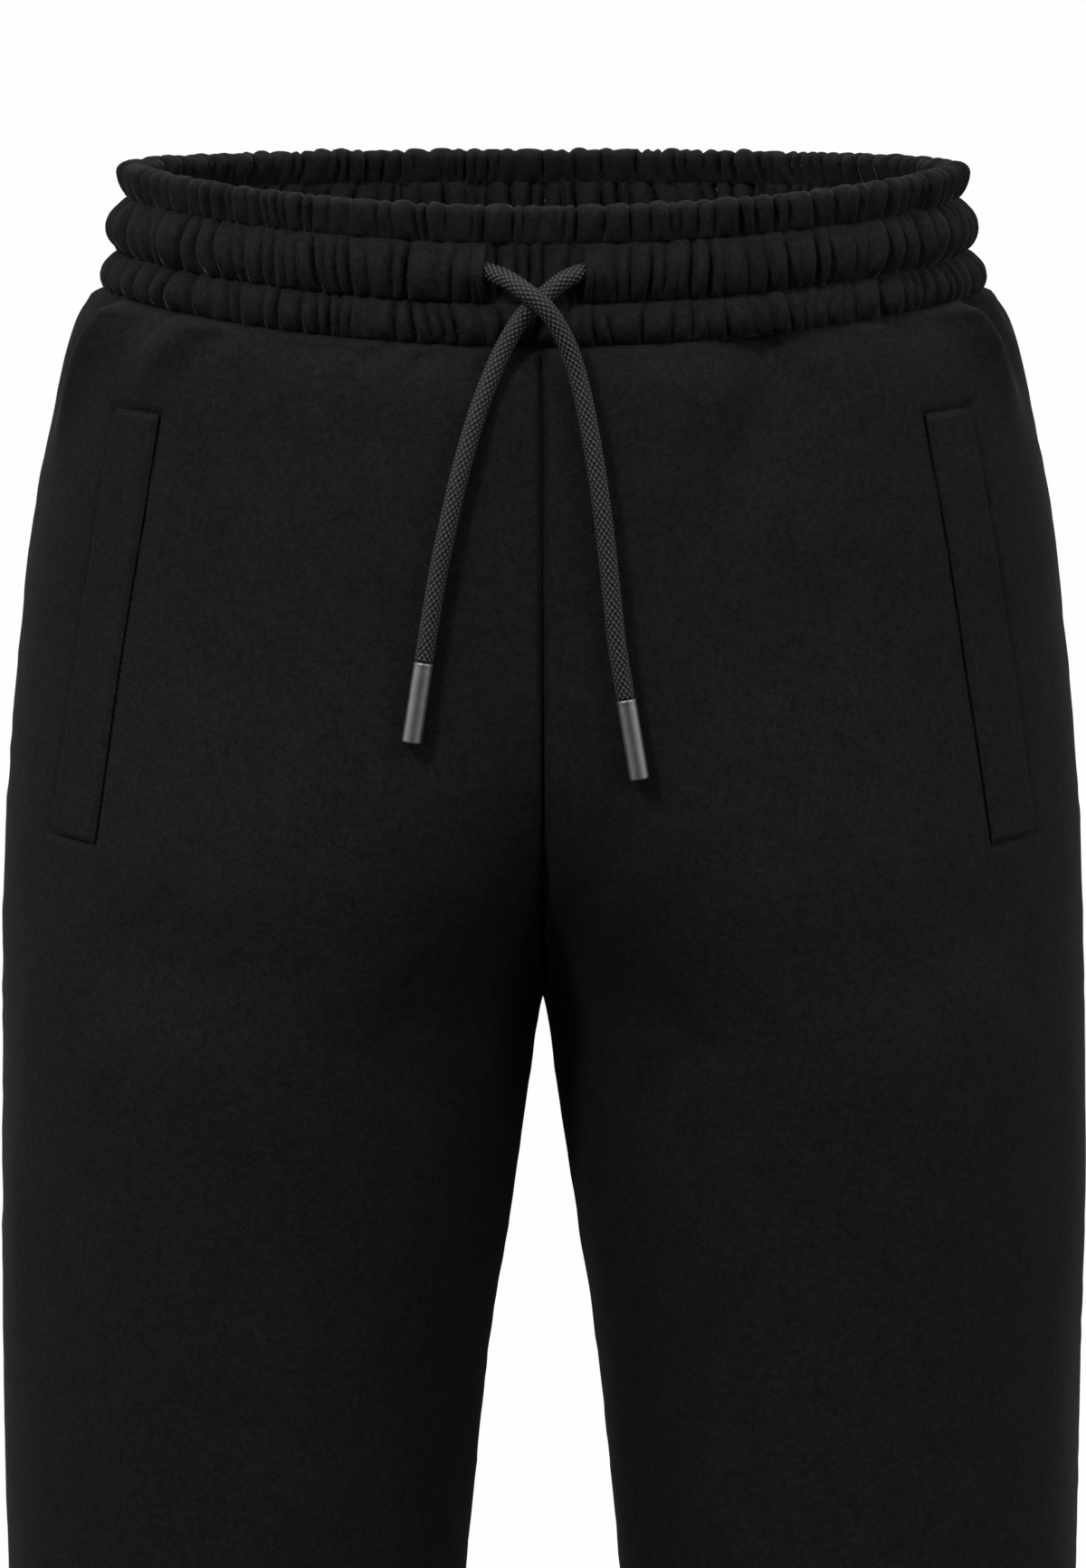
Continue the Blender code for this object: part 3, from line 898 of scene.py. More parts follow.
class GarmentForm:
    """The garment's bare form: level sections, each a half of two joined half-ellipses."""

    def __init__(self) -> None:
        """Sorts the section table from the bottom up and works out slopes that never overshoot."""
        self.levels = np.array([row.level for row in SECTIONS])[::-1]
        self.columns: dict[str, Array] = {}
        self.slopes: dict[str, Array] = {}
        for name in ("side", "inner", "front", "back", "seam_y"):
            values = np.array([getattr(row, name) for row in SECTIONS])[::-1]
            secants = np.diff(values) / np.diff(self.levels)
            before, after = secants[:-1], secants[1:]
            same_way = before * after > 0
            total = np.where(same_way, before + after, 1.0)
            inner_slopes = np.where(same_way, 2.0 * before * after / total, 0.0)
            self.columns[name] = values
            self.slopes[name] = np.concatenate([secants[:1], inner_slopes, secants[-1:]])

    def measure(self, name: str, level: Array) -> Array:
        """One column of the table at any level.

        Between rows it is the cubic with both rows' values and slopes.

        Args:
            name: The column.
            level: Levels.

        Returns:
            The column's values there.
        """
        row = np.clip(np.searchsorted(self.levels, level) - 1, 0, len(self.levels) - 2)
        step = self.levels[row + 1] - self.levels[row]
        t = np.clip((level - self.levels[row]) / step, 0.0, 1.0)
        low, high = self.columns[name][row], self.columns[name][row + 1]
        rise_low, rise_high = self.slopes[name][row] * step, self.slopes[name][row + 1] * step
        value = low * (1 + 2 * t) * (1 - t) ** 2 + high * t**2 * (3 - 2 * t)
        return value + rise_low * t * (1 - t) ** 2 - rise_high * t**2 * (1 - t)

    def last_angle(self, level: Array) -> Array:
        """Angle where the section meets the centre seam, or half a turn at the inseam."""
        side, inner = self.measure("side", level), self.measure("inner", level)
        meeting = np.arccos(np.clip(-(side + inner) / (side - inner), -1.0, 1.0))
        return np.where(inner >= 0, math.pi, meeting)

    def turn(self, share: Array, level: Array) -> Array:
        """Angle at a share of the panel: pi t - (pi - last) t^p, p = last / (pi - last) up to 4."""
        last = self.last_angle(level)
        power = np.minimum(4.0, last / np.maximum(math.pi - last, 1e-6))
        return math.pi * share - (math.pi - last) * share**power

    def share_at(self, reach: Array, level: Array) -> Array:
        """Share of the front panel at which it is this far from the middle plane, by halving."""
        reach, level = np.broadcast_arrays(reach, level)
        low, high = np.zeros(reach.shape), np.ones(reach.shape)
        for _ in range(HALVINGS):
            middle = (low + high) / 2
            inside = self.bare(middle, level, Face.FRONT)[0][..., 0] > reach
            low, high = np.where(inside, middle, low), np.where(inside, high, middle)
        return (low + high) / 2

    def half_girth(self, level: Array) -> Array:
        """Length round one panel: last angle * sqrt((radius^2 + depth^2) / 2)."""
        radius = (self.measure("side", level) - self.measure("inner", level)) / 2
        depth = (self.measure("front", level) + self.measure("back", level)) / 2
        return self.last_angle(level) * np.sqrt((radius**2 + depth**2) / 2)

    def bare(self, share: Array, level: Array, face: Face) -> tuple[Array, Array]:
        """Points of the wearer's left half and the level way out of them.

        x = centre + radius cos q, y = seam_y +- depth sin q, where q is the angle at this share. The
        way out is (cos q / radius, +- sin q / depth, 0), made a unit. The front's rows dip towards
        the centre under the waistband.

        Args:
            share: From 0 at the side seam to 1 at the centre seam or inseam.
            level: Levels.
            face: Front or back.

        Returns:
            The points and the unit ways out.
        """
        side, inner = self.measure("side", level), self.measure("inner", level)
        centre, radius = (side + inner) / 2, (side - inner) / 2
        depth = face.value * self.measure(face.word, level)
        angle = self.turn(share, level)
        fade = eased((level - DIP_FADE_LEVEL) / (SEAM_LEVEL - DIP_FADE_LEVEL))
        dip = SEAM_DIP * np.sin(angle) ** 2 * fade if face is Face.FRONT else 0.0
        y = self.measure("seam_y", level) + depth * np.sin(angle)
        points = stack(centre + radius * np.cos(angle), y, level - dip)
        ways = unit(stack(np.cos(angle) / radius, np.sin(angle) / depth, np.zeros_like(y)))
        return points, ways


class Wave(NamedTuple):
    """Soft noise laid on the cloth, with its seed counted from the panel's own."""

    height: float
    cell: tuple[float, float]
    seed_step: int


DRIFT_WAVES = (
    Wave(0.0011, (0.075, 0.110), 0),
    Wave(0.0005, (0.034, 0.052), 5),
    Wave(0.00014, (0.014, 0.020), 7),
)
SECOND_PUCKERS = 0.4  # how far off the second seam's puckers are read from the same noise


@dataclass
class Panel:
    """One of the four fleece panels, from the waist seam to the cuff."""

    form: GarmentForm
    face: Face
    side: Side
    wall: float = 0.0019
    seam_depth: float = 0.0021
    seam_width: float = 0.0014
    centre_depth: float = 1.6
    seam_ease: float = 0.010
    rise_depth: float = 0.0095
    rise_width: float = 0.0060
    rise_fade: float = 0.02
    lip: float = 0.0016
    lip_drop: float = 0.0014
    lip_width: float = 0.0018
    overlap: float = 0.0002
    waist_roll: float = 0.0034
    seam_waver: float = 0.0004
    pucker_height: float = 0.00035
    pucker_width: float = 0.009
    broad_scallop: float = 0.0018
    small_scallop: float = 0.0009
    scallop_fade: float = 0.011
    bed_depth: float = 0.0013
    bed_edge: float = 0.0012
    gathers: int = 17
    gather_depth: float = 0.0030
    gather_waver: float = 1.9
    gather_start: float = 0.004
    gather_fade: float = 0.017
    centre_ease: float = 0.012
    edge_width: float = 0.002
    front_counts: tuple[int, int] = (138, 300)
    back_counts: tuple[int, int] = (96, 220)
    seed: int = 3

    @property
    def name(self) -> str:
        """The name of the solid that this panel stands for."""
        return f"{self.face.word}_{self.side.word}"

    def fold_relief(self, s: Array, z: Array) -> Array:
        """The sum over folds of height * bell(distance from its line) * its fade along the line."""
        lift = np.zeros(np.broadcast(s, z).shape)
        for folds, fade in FOLD_TABLES:
            for fold in (row for row in folds if row.panel == self.name):
                start, end = (fold.from_side, fold.level), (fold.to_side, fold.to_level)
                along, away = segment_place(s, z, start, end)
                ends = 1.0 - eased(along) if fade is Fade.LOWER_END else sine_arch(along, 1.2)
                lift += fold.height * bell(away, fold.width) * ends
        return lift

    def seam_puckers(self, s: Array, z: Array, girth: Array) -> Array:
        """Small uneven puckers beside the long seams."""
        noise, width = SoftNoise(self.seed + 23, (0.010, 0.006)), self.pucker_width
        at_centre = noise(s, z) * bell(girth - s, width)
        at_side = noise(s + SECOND_PUCKERS, z) * bell(s, width)
        return self.pucker_height * (at_centre + at_side)

    def waist_relief(self, s: Array, z: Array) -> Array:
        """Uneven scallops where the cloth is eased into the waistband, gone 14 mm below the seam."""
        below = np.maximum(SEAM_LEVEL - z, 0.0)
        broad, small = SoftNoise(self.seed + 31, (0.012, 0.03)), SoftNoise(self.seed + 37, (0.0055, 0.02))
        scallops = self.broad_scallop * broad(s, z * 0.2) + self.small_scallop * small(s, z * 0.3)
        return scallops * bell(below - 0.002, self.scallop_fade)

    def hem_relief(self, share: Array, z: Array) -> Array:
        """Gathers over the cuff: depth * cos(2 pi gathers share + waver), gone 40 mm above the hem."""
        above = z - HEM_LEVEL
        waver = SoftNoise(self.seed + 41, (0.11, 0.018))
        phase = 2 * math.pi * self.gathers * share + self.gather_waver * waver(share, z)
        size = 0.6 + 0.4 * SoftNoise(self.seed + 43, (0.07, 1.0))(share, z)
        fullest = self.gather_start
        fade = bell(above - fullest, self.gather_fade) * eased(above / fullest)
        return self.gather_depth * size * np.cos(phase) * fade

    def drift(self, s: Array, z: Array) -> Array:
        """The cloth's own soft unevenness, from hand-sized waves down to thumb-sized ones."""
        waves = (
            wave.height * SoftNoise(self.seed + wave.seed_step, wave.cell)(s, z) for wave in DRIFT_WAVES
        )
        return sum(waves)

    def pocket_relief(self, share: Array, z: Array) -> Array:
        """A shallow bed under the welt, with a groove along each of the pocket's edges."""
        if self.face is Face.BACK:
            return np.zeros(np.broadcast(share, z).shape)
        reach = self.form.bare(share, z, Face.FRONT)[0][..., 0] / WELT_FACING
        relief = np.zeros(np.broadcast(reach, z).shape)
        for groove in POCKET_GROOVES:
            away = segment_place(reach, z, groove.start.on_cloth(), groove.end.on_cloth())[1]
            relief = np.minimum(relief, -groove.depth * bell(away, groove.width))
        top, bottom = WELT_TOP_OUTER.level, WELT_BOTTOM_OUTER.level
        down = np.clip((top - z) / (top - bottom), 0, 1)
        outer, inner = (
            upper.on_cloth()[0] * (1 - down) + lower.on_cloth()[0] * down
            for upper, lower in ((WELT_TOP_OUTER, WELT_BOTTOM_OUTER), (WELT_TOP_INNER, WELT_BOTTOM_INNER))
        )
        margins = (outer - reach, reach - inner, top - z, z - WELT_BOTTOM_INNER.level)
        bed = math.prod(within(margin, self.bed_edge) for margin in margins)
        return np.minimum(relief, -self.bed_depth * bed)

    def relief(self, share: Array, level: Array, girth: Array) -> Array:
        """Everything that lies on the bare form, without the waist seam's rounding."""
        s = share * girth
        sewn = self.seam_puckers(s, level, girth) + self.waist_relief(s, level)
        lift = self.fold_relief(s, level) + sewn + self.hem_relief(share, level)
        return lift + self.pocket_relief(share, level) + self.drift(s, level)

    def draped(self, share: Array, level: Array) -> tuple[Array, Array, Array]:
        """Points of the outer face on the wearer's left, their place round the panel and the ways out.

        Near each long seam the relief gives way, over a centimetre, to the seam's own trough, which is
        the same on both panels that meet there. The centre seam sinks between the thighs towards the
        crotch. At the waist seam it all rises from nothing to the rolled edge's lip.
        """
        girth = self.form.half_girth(level)
        s = share * girth
        points, ways = self.form.bare(share, level, self.face)
        lift = self.relief(share, level, girth)
        ends = (
            (s, self.relief(np.zeros_like(share), level, girth)),
            (girth - s, self.relief(np.ones_like(share), level, girth)),
        )
        for away, there in ends:
            meeting = self.seam_waver * SEAM_MEETING(away * 0, level)
            lift = lift + (meeting - there) * bell(away, self.seam_ease)
        for away, deeper in ((s, 1.0), (girth - s, self.centre_depth)):
            lift = lift - self.seam_depth * deeper * bell(away, self.seam_width)
        sunk = eased((RISE_TOP - level) / (RISE_TOP - CROTCH_LEVEL))
        sunk = sunk * eased((level - CROTCH_LEVEL) / self.rise_fade)
        lift = lift - self.rise_depth * sunk * bell(girth - s, self.rise_width)
        below = np.clip((SEAM_LEVEL - level) / self.waist_roll, 0.0, 1.0)
        lift = lift + self.lip * bell(SEAM_LEVEL - level - self.lip_drop, self.lip_width)
        lift = lift * np.sqrt(1.0 - (1.0 - below) ** 2)
        raised = points + ways * lift[..., None]
        return self.joined(points, raised, s, girth, level), s, ways

    def joined(self, points: Array, raised: Array, s: Array, girth: Array, level: Array) -> Array:
        """Raised points with their edges meeting the neighbours'.

        Above the crotch the relief has no x within a centimetre of the centre seam, so that both
        halves end in the middle plane. Every edge then runs a fifth of a millimetre past its seam.
        """
        above = eased((level - CROTCH_LEVEL) / 0.03 + 1.0)
        at_side, at_centre = bell(s, self.edge_width), bell(girth - s, self.edge_width)
        joined = raised.copy()
        joined[..., 0] += (points[..., 0] - raised[..., 0]) * bell(girth - s, self.centre_ease) * above
        joined[..., 0] -= self.overlap * at_centre * above
        joined[..., 1] -= self.face.value * self.overlap * (at_side + at_centre * (1.0 - above))
        return joined

    def steps(self) -> tuple[Array, Array]:
        """Shares across and levels down, closer together at seams, pocket ends and the hem."""
        counts = self.back_counts
        across = ((0.0, 0.02, 4.0), (1.0, 0.015, 5.0))
        down = ((SEAM_LEVEL, 0.012, 2.0),)
        if self.face is Face.FRONT:
            counts = self.front_counts
            across = ((0.0, 0.02, 3.0), (0.31, 0.12, 2.4), (1.0, 0.015, 7.0))
            pocket_ends = tuple((level, 0.005, 2.6) for level in (WELT_TOP_OUTER.level, WELT_FOOT_LEVEL))
            down = ((SEAM_LEVEL, 0.012, 3.2), *pocket_ends)
        down = (*down, (-0.24, 0.20, 1.3), (HEM_LEVEL, 0.030, 3.5))
        levels = crowded(counts[1], down, HEM_LEVEL, SEAM_LEVEL)[::-1]
        return crowded(counts[0], across, 0.0, 1.0), levels

    def build(self, finish: bpy.types.Material) -> bpy.types.Object:
        """Builds the panel's wall and lets it stand for its solid.

        Args:
            finish: The fleece.

        Returns:
            The piece.
        """
        shares, levels = self.steps()
        share, level = np.broadcast_arrays(shares[None, :], levels[:, None])
        outer, s, ways = self.draped(share, level)
        normals = grid_normals(outer)
        normals *= np.sign(np.sum(normals * ways, axis=-1, keepdims=True))
        inner = outer - self.wall * normals
        for grid in (outer, inner):
            grid[..., 0] = np.maximum(grid[..., 0], -self.overlap) * self.side.value
        mesh = wall_mesh(self.name, outer, inner, np.stack([s * self.side.value, level], axis=-1))
        piece = settle(f"{self.name}_panel", mesh, finish)
        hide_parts(self.name)
        return piece


@dataclass
class PocketWelt:
    """The folded strip over a pocket's mouth, sewn down along its inner edge and both ends."""

    panel: Panel
    rise: float = 0.0020
    sunk: float = 0.0011
    ripple: float = 0.00022
    wall: float = 0.0012
    width: float = 0.0245
    length: float = 0.158
    free_roll: float = 0.0016
    sewn_roll: float = 0.0030
    end_roll: float = 0.0026
    corner_cut: float = 0.0020
    corner_length: float = 0.006
    beside: float = 1.055  # where the stitches run, as a share of the strip's width
    beyond: float = 0.011  # and past its ends, as a share of its length
    pitch: float = 0.0026
    proud: float = 0.00012
    columns: int = 28
    rows: int = 180

    @property
    def name(self) -> str:
        """The name of the solid that this welt stands for."""
        return f"pocket_welt_{self.panel.side.word}"

    def place(self, across: Array, down: Array) -> tuple[Array, Array]:
        """Share of the front and level, between the strip's four corners as seen from the front.

        The free edge is rounded off at both ends: it starts in by cut * (1 - t / corner length)^2.

        Args:
            across: From 0 at the free edge to 1 at the sewn edge.
            down: From 0 at the top to 1 at the bottom.

        Returns:
            The shares and the levels.
        """
        edges = ((WELT_TOP_OUTER, WELT_TOP_INNER), (WELT_BOTTOM_OUTER, WELT_BOTTOM_INNER))
        top, bottom = (
            [outer[k] * (1 - across) + inner[k] * across for k in (0, 1)] for outer, inner in edges
        )
        reach, level = (top[k] * (1 - down) + bottom[k] * down for k in (0, 1))
        end = np.clip(np.minimum(down, 1 - down), 0.0, 1.0) * self.length / self.corner_length
        reach = reach - self.corner_cut * np.clip(1 - end, 0.0, 1.0) ** 2 * (1 - across)
        return self.panel.form.share_at(reach, level), level

    def build(self, finish: bpy.types.Material, thread: bpy.types.Material) -> list[bpy.types.Object]:
        """Builds the strip and its rows of stitches.

        The strip's height is rise * (rounded free edge) * (drawn down at the sewn edge and ends),
        added to the front panel's own points.

        Args:
            finish: The fleece.
            thread: The sewing thread.

        Returns:
            The strip and the stitches.
        """
        across = crowded(self.columns, ((0.0, 0.06, 4.0), (1.0, 0.06, 4.0)), 0.006, 0.985)[None, :]
        down = crowded(self.rows, ((0.0, 0.01, 5.0), (1.0, 0.01, 5.0)), 0.003, 0.997)[:, None]
        share, level = self.place(across, down)
        form, panel = self.panel.form, self.panel
        s = share * form.half_girth(level)
        points, ways = form.bare(share, level, Face.FRONT)
        rolled = np.clip(across * self.width / self.free_roll, 0, 1)
        free = np.sqrt(np.clip(1 - (1 - rolled) ** 2, 0, 1))
        sewn = eased((1 - across) * self.width / self.sewn_roll)
        ends = eased(np.minimum(down, 1 - down) * self.length / self.end_roll)
        ripple = self.ripple * SoftNoise(61 + panel.side.value, (0.012, 0.016))(s, level)
        lift = panel.fold_relief(s, level) + panel.drift(s, level) - self.sunk
        lift = lift + (self.rise + ripple) * (0.25 + 0.75 * free) * (0.35 + 0.65 * sewn * ends)
        outer = points + ways * lift[..., None]
        inner = outer - ways * self.wall
        for grid in (outer, inner):
            grid[..., 0] *= panel.side.value
        mesh = wall_mesh(self.name, outer, inner, np.stack([s * panel.side.value, level], axis=-1))
        strip = settle(f"{self.name}_strip", mesh, finish)
        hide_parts(self.name)
        above, below = -self.beyond, 1 + self.beyond
        lines = (
            (self.beside, self.beside, 0.0, 1.0),
            (0.0, self.beside - 0.015, above, above),
            (0.0, self.beside - 0.015, below, below),
        )
        rows = [StitchRow(self.stitch_path(*line), self.pitch) for line in lines]
        stitches = build_stitches(f"{self.name}_stitches", rows, thread)
        return [strip, stitches]

    def stitch_path(
        self, across: float, to_across: float, down: float, to_down: float
    ) -> tuple[Array, Array]:
        """Points just proud of the front panel along a line beside the strip, and the ways out."""
        t = np.linspace(0.0, 1.0, 200)
        share, level = self.place(across + (to_across - across) * t, down + (to_down - down) * t)
        points, _, ways = self.panel.draped(share, level)
        points = points + ways * self.proud
        flip = np.array([self.panel.side.value, 1, 1])
        return points * flip, ways * flip


# ---------------------------------------------------------------------------------------- stitching


@dataclass
class StitchRow:
    """A row of stitches along a path of points with their ways out of the cloth."""

    path: tuple[Array, Array]
    pitch: float
    share: float = 0.50
    radius: float = 0.00020


def stitch_points(row: StitchRow, sides: int = 5, rings: int = 4) -> tuple[Array, Array]:
    """The points and quads of all the stitches of a row.

    Each stitch is a capsule: its ring at t has radius r sqrt(1 - (2t - 1)^4) and sinks at both ends
    into the cloth.

    Args:
        row: The row.
        sides: Points round a ring.
        rings: Rings along a stitch.

    Returns:
        The points and the quads.
    """
    points, ways = row.path
    runs = path_runs(points)
    count = max(1, int(runs[-1] / row.pitch))
    t = np.linspace(0.0, 1.0, rings)
    starts = (np.arange(count) + (1 - row.share) / 2) * (runs[-1] / count)
    stops = starts[:, None] + t[None, :] * row.share * (runs[-1] / count)
    middle = at_runs(stops, runs, points)
    out = unit(at_runs(stops, runs, ways))
    along = unit(middle[:, -1:] - middle[:, :1])
    aside = unit(np.cross(out, along))
    taper = np.maximum(np.sqrt(np.clip(1 - (2 * t - 1) ** 4, 0, 1)), 0.08)[None, :, None]
    middle = middle + out * (taper - 1.0) * row.radius * 1.6
    angles = full_turn(sides)
    ring = np.cos(angles)[None, None, :, None] * out[:, :, None, :]
    ring = ring + np.sin(angles)[None, None, :, None] * aside[:, :, None, :]
    made = middle[:, :, None, :] + row.radius * taper[..., None] * ring
    one = grid_quads(rings, sides, loop_columns=True)
    quads = (one[None] + (np.arange(count) * rings * sides)[:, None, None]).reshape(-1, 4)
    return made.reshape(-1, 3), quads


def build_stitches(name: str, rows: list[StitchRow], thread: bpy.types.Material) -> bpy.types.Object:
    """One piece of many stitches.

    Args:
        name: Its name.
        rows: The rows in it.
        thread: Their finish.

    Returns:
        The piece.
    """
    made = [stitch_points(row) for row in rows]
    firsts = np.cumsum([0] + [len(points) for points, _ in made[:-1]])
    quads = np.vstack([quads + first for (_, quads), first in zip(made, firsts)])
    mesh = quad_mesh(name, np.vstack([points for points, _ in made]), quads)
    return settle(name, mesh, thread)


# ----------------------------------------------------------------------------------------- waistband


@dataclass(frozen=True)
class Gathers:
    """Uneven pleats round a loop: rounded between sharp creases, which lean one way or the other."""

    seed: int
    girth: float
    narrowest: float
    widest: float
    depth: float
    flare: float = 0.0052
    lean: float = 0.0042
    curl: float = 0.0011
    crease: float = 0.0034
    crease_width: float = 0.0011
    full_width: float = 0.006
    stub_spacing: float = 0.0055
    stub_depth: float = 0.0017

    def height(self, along: Array, across: Array) -> Array:
        """Height of the pleats.

        Between creases at t = 0 and 1 it is depth * (fullness * 4 t (1 - t) * tilt - 1/2), and each
        crease is cut in by up to crease * bell(distance). Creases lean by flare * sin(2 pi along / girth),
        away from the centre front at the bottom, plus slow noise, and curl a little. Short creases reach
        in from the stitching on top of that.

        Args:
            along: Distance round the loop, nought at the centre front.
            across: From 0 to 1 down the channel.

        Returns:
            The heights.
        """
        rng = np.random.default_rng(self.seed)
        count = int(self.girth / (0.6 * self.narrowest + 0.4 * self.widest))
        widths = self.narrowest + (self.widest - self.narrowest) * rng.random(count) ** 1.6
        widths *= self.girth / widths.sum()
        edges = running(widths)
        full = rng.uniform(0.3, 1.0, count) * np.clip(widths / self.full_width, 0.5, 1.25)
        sharp = rng.random(count) ** 1.2 * self.crease
        tilt = rng.uniform(-0.7, 0.7, count)
        lean = SoftNoise(self.seed + 1, (self.girth / 40, 10.0), 40)(along, across * 0)
        curl = SoftNoise(self.seed + 2, (self.girth / 64, 0.6), 64)(along, across)
        spread = self.flare * np.sin(2 * math.pi * along / self.girth) + self.lean * lean
        place = (along - spread * (across - 0.5) + self.curl * curl) % self.girth
        index = span_of(place, edges)
        t = np.clip((place - edges[index]) / widths[index], 0.0, 1.0)
        arch = 4 * t * (1 - t) * full[index] * (1 + tilt[index] * (t - 0.5))
        nearest = (index + (t > 0.5)) % count
        distance = np.minimum(t, 1 - t) * widths[index]
        height = self.depth * (arch - 0.5) - sharp[nearest] * bell(distance, self.crease_width)
        return height - self.stubs(place, across, rng)

    def stubs(self, place: Array, across: Array, rng: np.random.Generator) -> Array:
        """Depth of the short creases: each is deepest at one row of stitches and dies away from it."""
        count = int(self.girth / self.stub_spacing)
        starts = (np.arange(count) + rng.uniform(0.15, 0.85, count)) * (self.girth / count)
        from_top = rng.random(count) < 0.5
        reach = rng.uniform(0.15, 0.65, count)
        depth = self.stub_depth * rng.uniform(0.3, 1.0, count)
        width = rng.uniform(0.0009, 0.0014, count)
        edges = np.concatenate([[0.0], (starts[1:] + starts[:-1]) / 2, [self.girth]])
        index = span_of(place, edges)
        inwards = np.where(from_top[index], across, 1.0 - across)
        return depth[index] * bell(place - starts[index], width[index]) * bell(inwards, reach[index])


class Channel(NamedTuple):
    """One elastic channel of the waistband, from the top down as shares of its height."""

    top: float
    bottom: float
    bulge: float
    inner_bulge: float
    pleats: int
    narrowest: float
    widest: float
    depth: float

    def share(self, drop: Array) -> Array:
        """How far down the channel a drop lies, from 0 at its top to 1 at its bottom."""
        return np.clip((drop - self.top) / (self.bottom - self.top), 0.0, 1.0)


CHANNELS = (
    Channel(0.000, 0.275, 0.0044, 0.0022, 101, 0.0038, 0.0110, 0.0032),
    Channel(0.275, 0.700, 0.0058, 0.0022, 202, 0.0042, 0.0125, 0.0030),
    Channel(0.700, 1.000, 0.0048, 0.0018, 303, 0.0040, 0.0120, 0.0028),
)


@dataclass
class Waistband:
    """The gathered band with its two rows of stitching and the window that the drawcord leaves by."""

    girth: float = 0.842
    wall: float = 0.0040
    top: float = 0.0235
    top_dip: float = 0.0092
    back_rise: float = -0.0010
    rim: float = 0.070
    slot_right: float = -0.0195
    slot_left: float = 0.0140
    lip_bow: float = 0.0008
    lip_rise: float = 0.0026
    lip_ridge: float = 0.0006
    lip_calm: float = 0.0055
    lip_edge: float = 0.0006
    slot_stitch: float = 0.0028
    slot_groove: float = 0.0009
    recess: float = 0.0008
    roundness: float = 0.66
    pucker: float = 0.0014
    rim_height: float = 0.0036
    rim_share: float = 0.32
    half_widths: tuple[float, float, float] = (0.1497, 0.0060, 0.0045)
    front_depths: tuple[float, float] = (0.1050, 0.0055)
    back_depths: tuple[float, float] = (0.1045, 0.0035)
    middle_axes: tuple[float, float] = (0.1585, 0.1085)
    slot_radius: float = 0.158
    height: float = 0.05
    outer_rows: int = 50
    rim_rows: int = 9
    inner_rows: int = 25
    stations: int = 1080

    def half_width(self, drop: Array) -> Array:
        """Half the band's width at its rows of stitching: start + growth * drop + kick * drop^5."""
        start, growth, kick = self.half_widths
        return start + growth * drop + kick * drop**5

    def spine(self, angle: Array, drop: Array) -> tuple[Array, Array]:
        """The rows of stitching's surface and the level way out, from the centre front round the left.

        x = side sin a, y = -depth cos a, with both growing a little towards the bottom.

        Args:
            angle: Angle from the centre front.
            drop: From 0 at the top edge to 1 at the waist seam.

        Returns:
            The points and the unit ways out.
        """
        is_front = np.cos(angle) > 0
        towards = np.cos(angle) ** 2
        side = self.half_width(drop)
        front, back = (start + growth * drop for start, growth in (self.front_depths, self.back_depths))
        depth = np.where(is_front, front, back)
        top = self.top + np.where(is_front, -self.top_dip, self.back_rise) * towards
        bottom = SEAM_LEVEL - np.where(is_front, SEAM_DIP, 0.0) * towards
        points = stack(side * np.sin(angle), -depth * np.cos(angle), top + (bottom - top) * drop)
        ways = unit(stack(np.sin(angle) / side, -np.cos(angle) / depth, np.zeros_like(points[..., 0])))
        return points, ways

    def angles(self) -> Array:
        """Stations round the band, closest together at the two slots and over the front."""
        places = [math.asin(x / self.slot_radius) for x in (self.slot_right, self.slot_left)]
        dense = tuple((place, 0.030, 4.0) for place in places) + ((0.0, 1.6, 0.55),)
        return crowded(self.stations + 1, dense, -math.pi, math.pi)[:-1]

    def along(self, angle: Array) -> Array:
        """Distance round the band at its middle, as an ellipse's running length."""
        fine = np.linspace(-math.pi, math.pi, 4001)
        side, depth = self.middle_axes
        passed = running(np.hypot(np.diff(side * np.sin(fine)), np.diff(depth * np.cos(fine))))
        return np.interp(angle, fine, passed) * (self.girth / passed[-1])

    def channel_lift(self, channel: Channel, along: Array, drop: Array, inside: bool) -> Array:
        """How far one channel stands off the rows of stitching.

        It is bulge * sin(pi v)^roundness across the channel plus pleats, with small puckers at the
        rows. The top channel shows the lower part of its rounding only: the rim takes up the rest.

        Args:
            channel: The channel.
            along: Distances round the band.
            drop: Shares of the band's height.
            inside: Whether it is the layer next to the wearer.

        Returns:
            The stand-off.
        """
        v = channel.share(drop)
        if channel.top == 0.0:
            v = 0.45 + 0.55 * v if inside else 0.5 + 0.5 * v
        rounding = sine_arch(v, self.roundness)
        seed = channel.pleats + (7 if inside else 0)
        pleats = Gathers(seed, self.girth, channel.narrowest, channel.widest, channel.depth)
        puckers = SoftNoise(channel.pleats + 3, (self.girth / 256, 0.35), 256)
        edge = bell(v, 0.16) * (channel.top > 0) + bell(1 - v, 0.16)
        bulge = channel.inner_bulge if inside else channel.bulge
        lift = bulge * rounding + pleats.height(along, v) * (0.22 + 0.78 * rounding)
        return lift + self.pucker * puckers(along, drop) * edge * np.sqrt(rounding + 0.1)

    def window(self, x: Array, drop: Array) -> Array:
        """1 inside the drawcord's window, 0 outside, over half a millimetre beside its two lips."""
        return within(-self.beyond_lip(x, drop), self.lip_edge)

    def beyond_lip(self, x: Array, drop: Array) -> Array:
        """Distance outwards from the nearer lip, which bows out by bow * (1 - (2v - 1)^2)."""
        bow = self.lip_bow * (1 - (2 * CHANNELS[1].share(drop) - 1) ** 2)
        return np.maximum(x - self.slot_left, self.slot_right - x) - bow

    def layer_lift(self, angle: Array, drop: Array, inside: bool) -> Array:
        """How far one layer stands off the rows of stitching, over all three channels."""
        along = self.along(angle)
        lift = np.zeros(np.broadcast(angle, drop).shape)
        for channel in CHANNELS:
            here = (drop >= channel.top) & (drop <= channel.bottom)
            lift = np.where(here, self.channel_lift(channel, along, drop, inside), lift)
        return lift

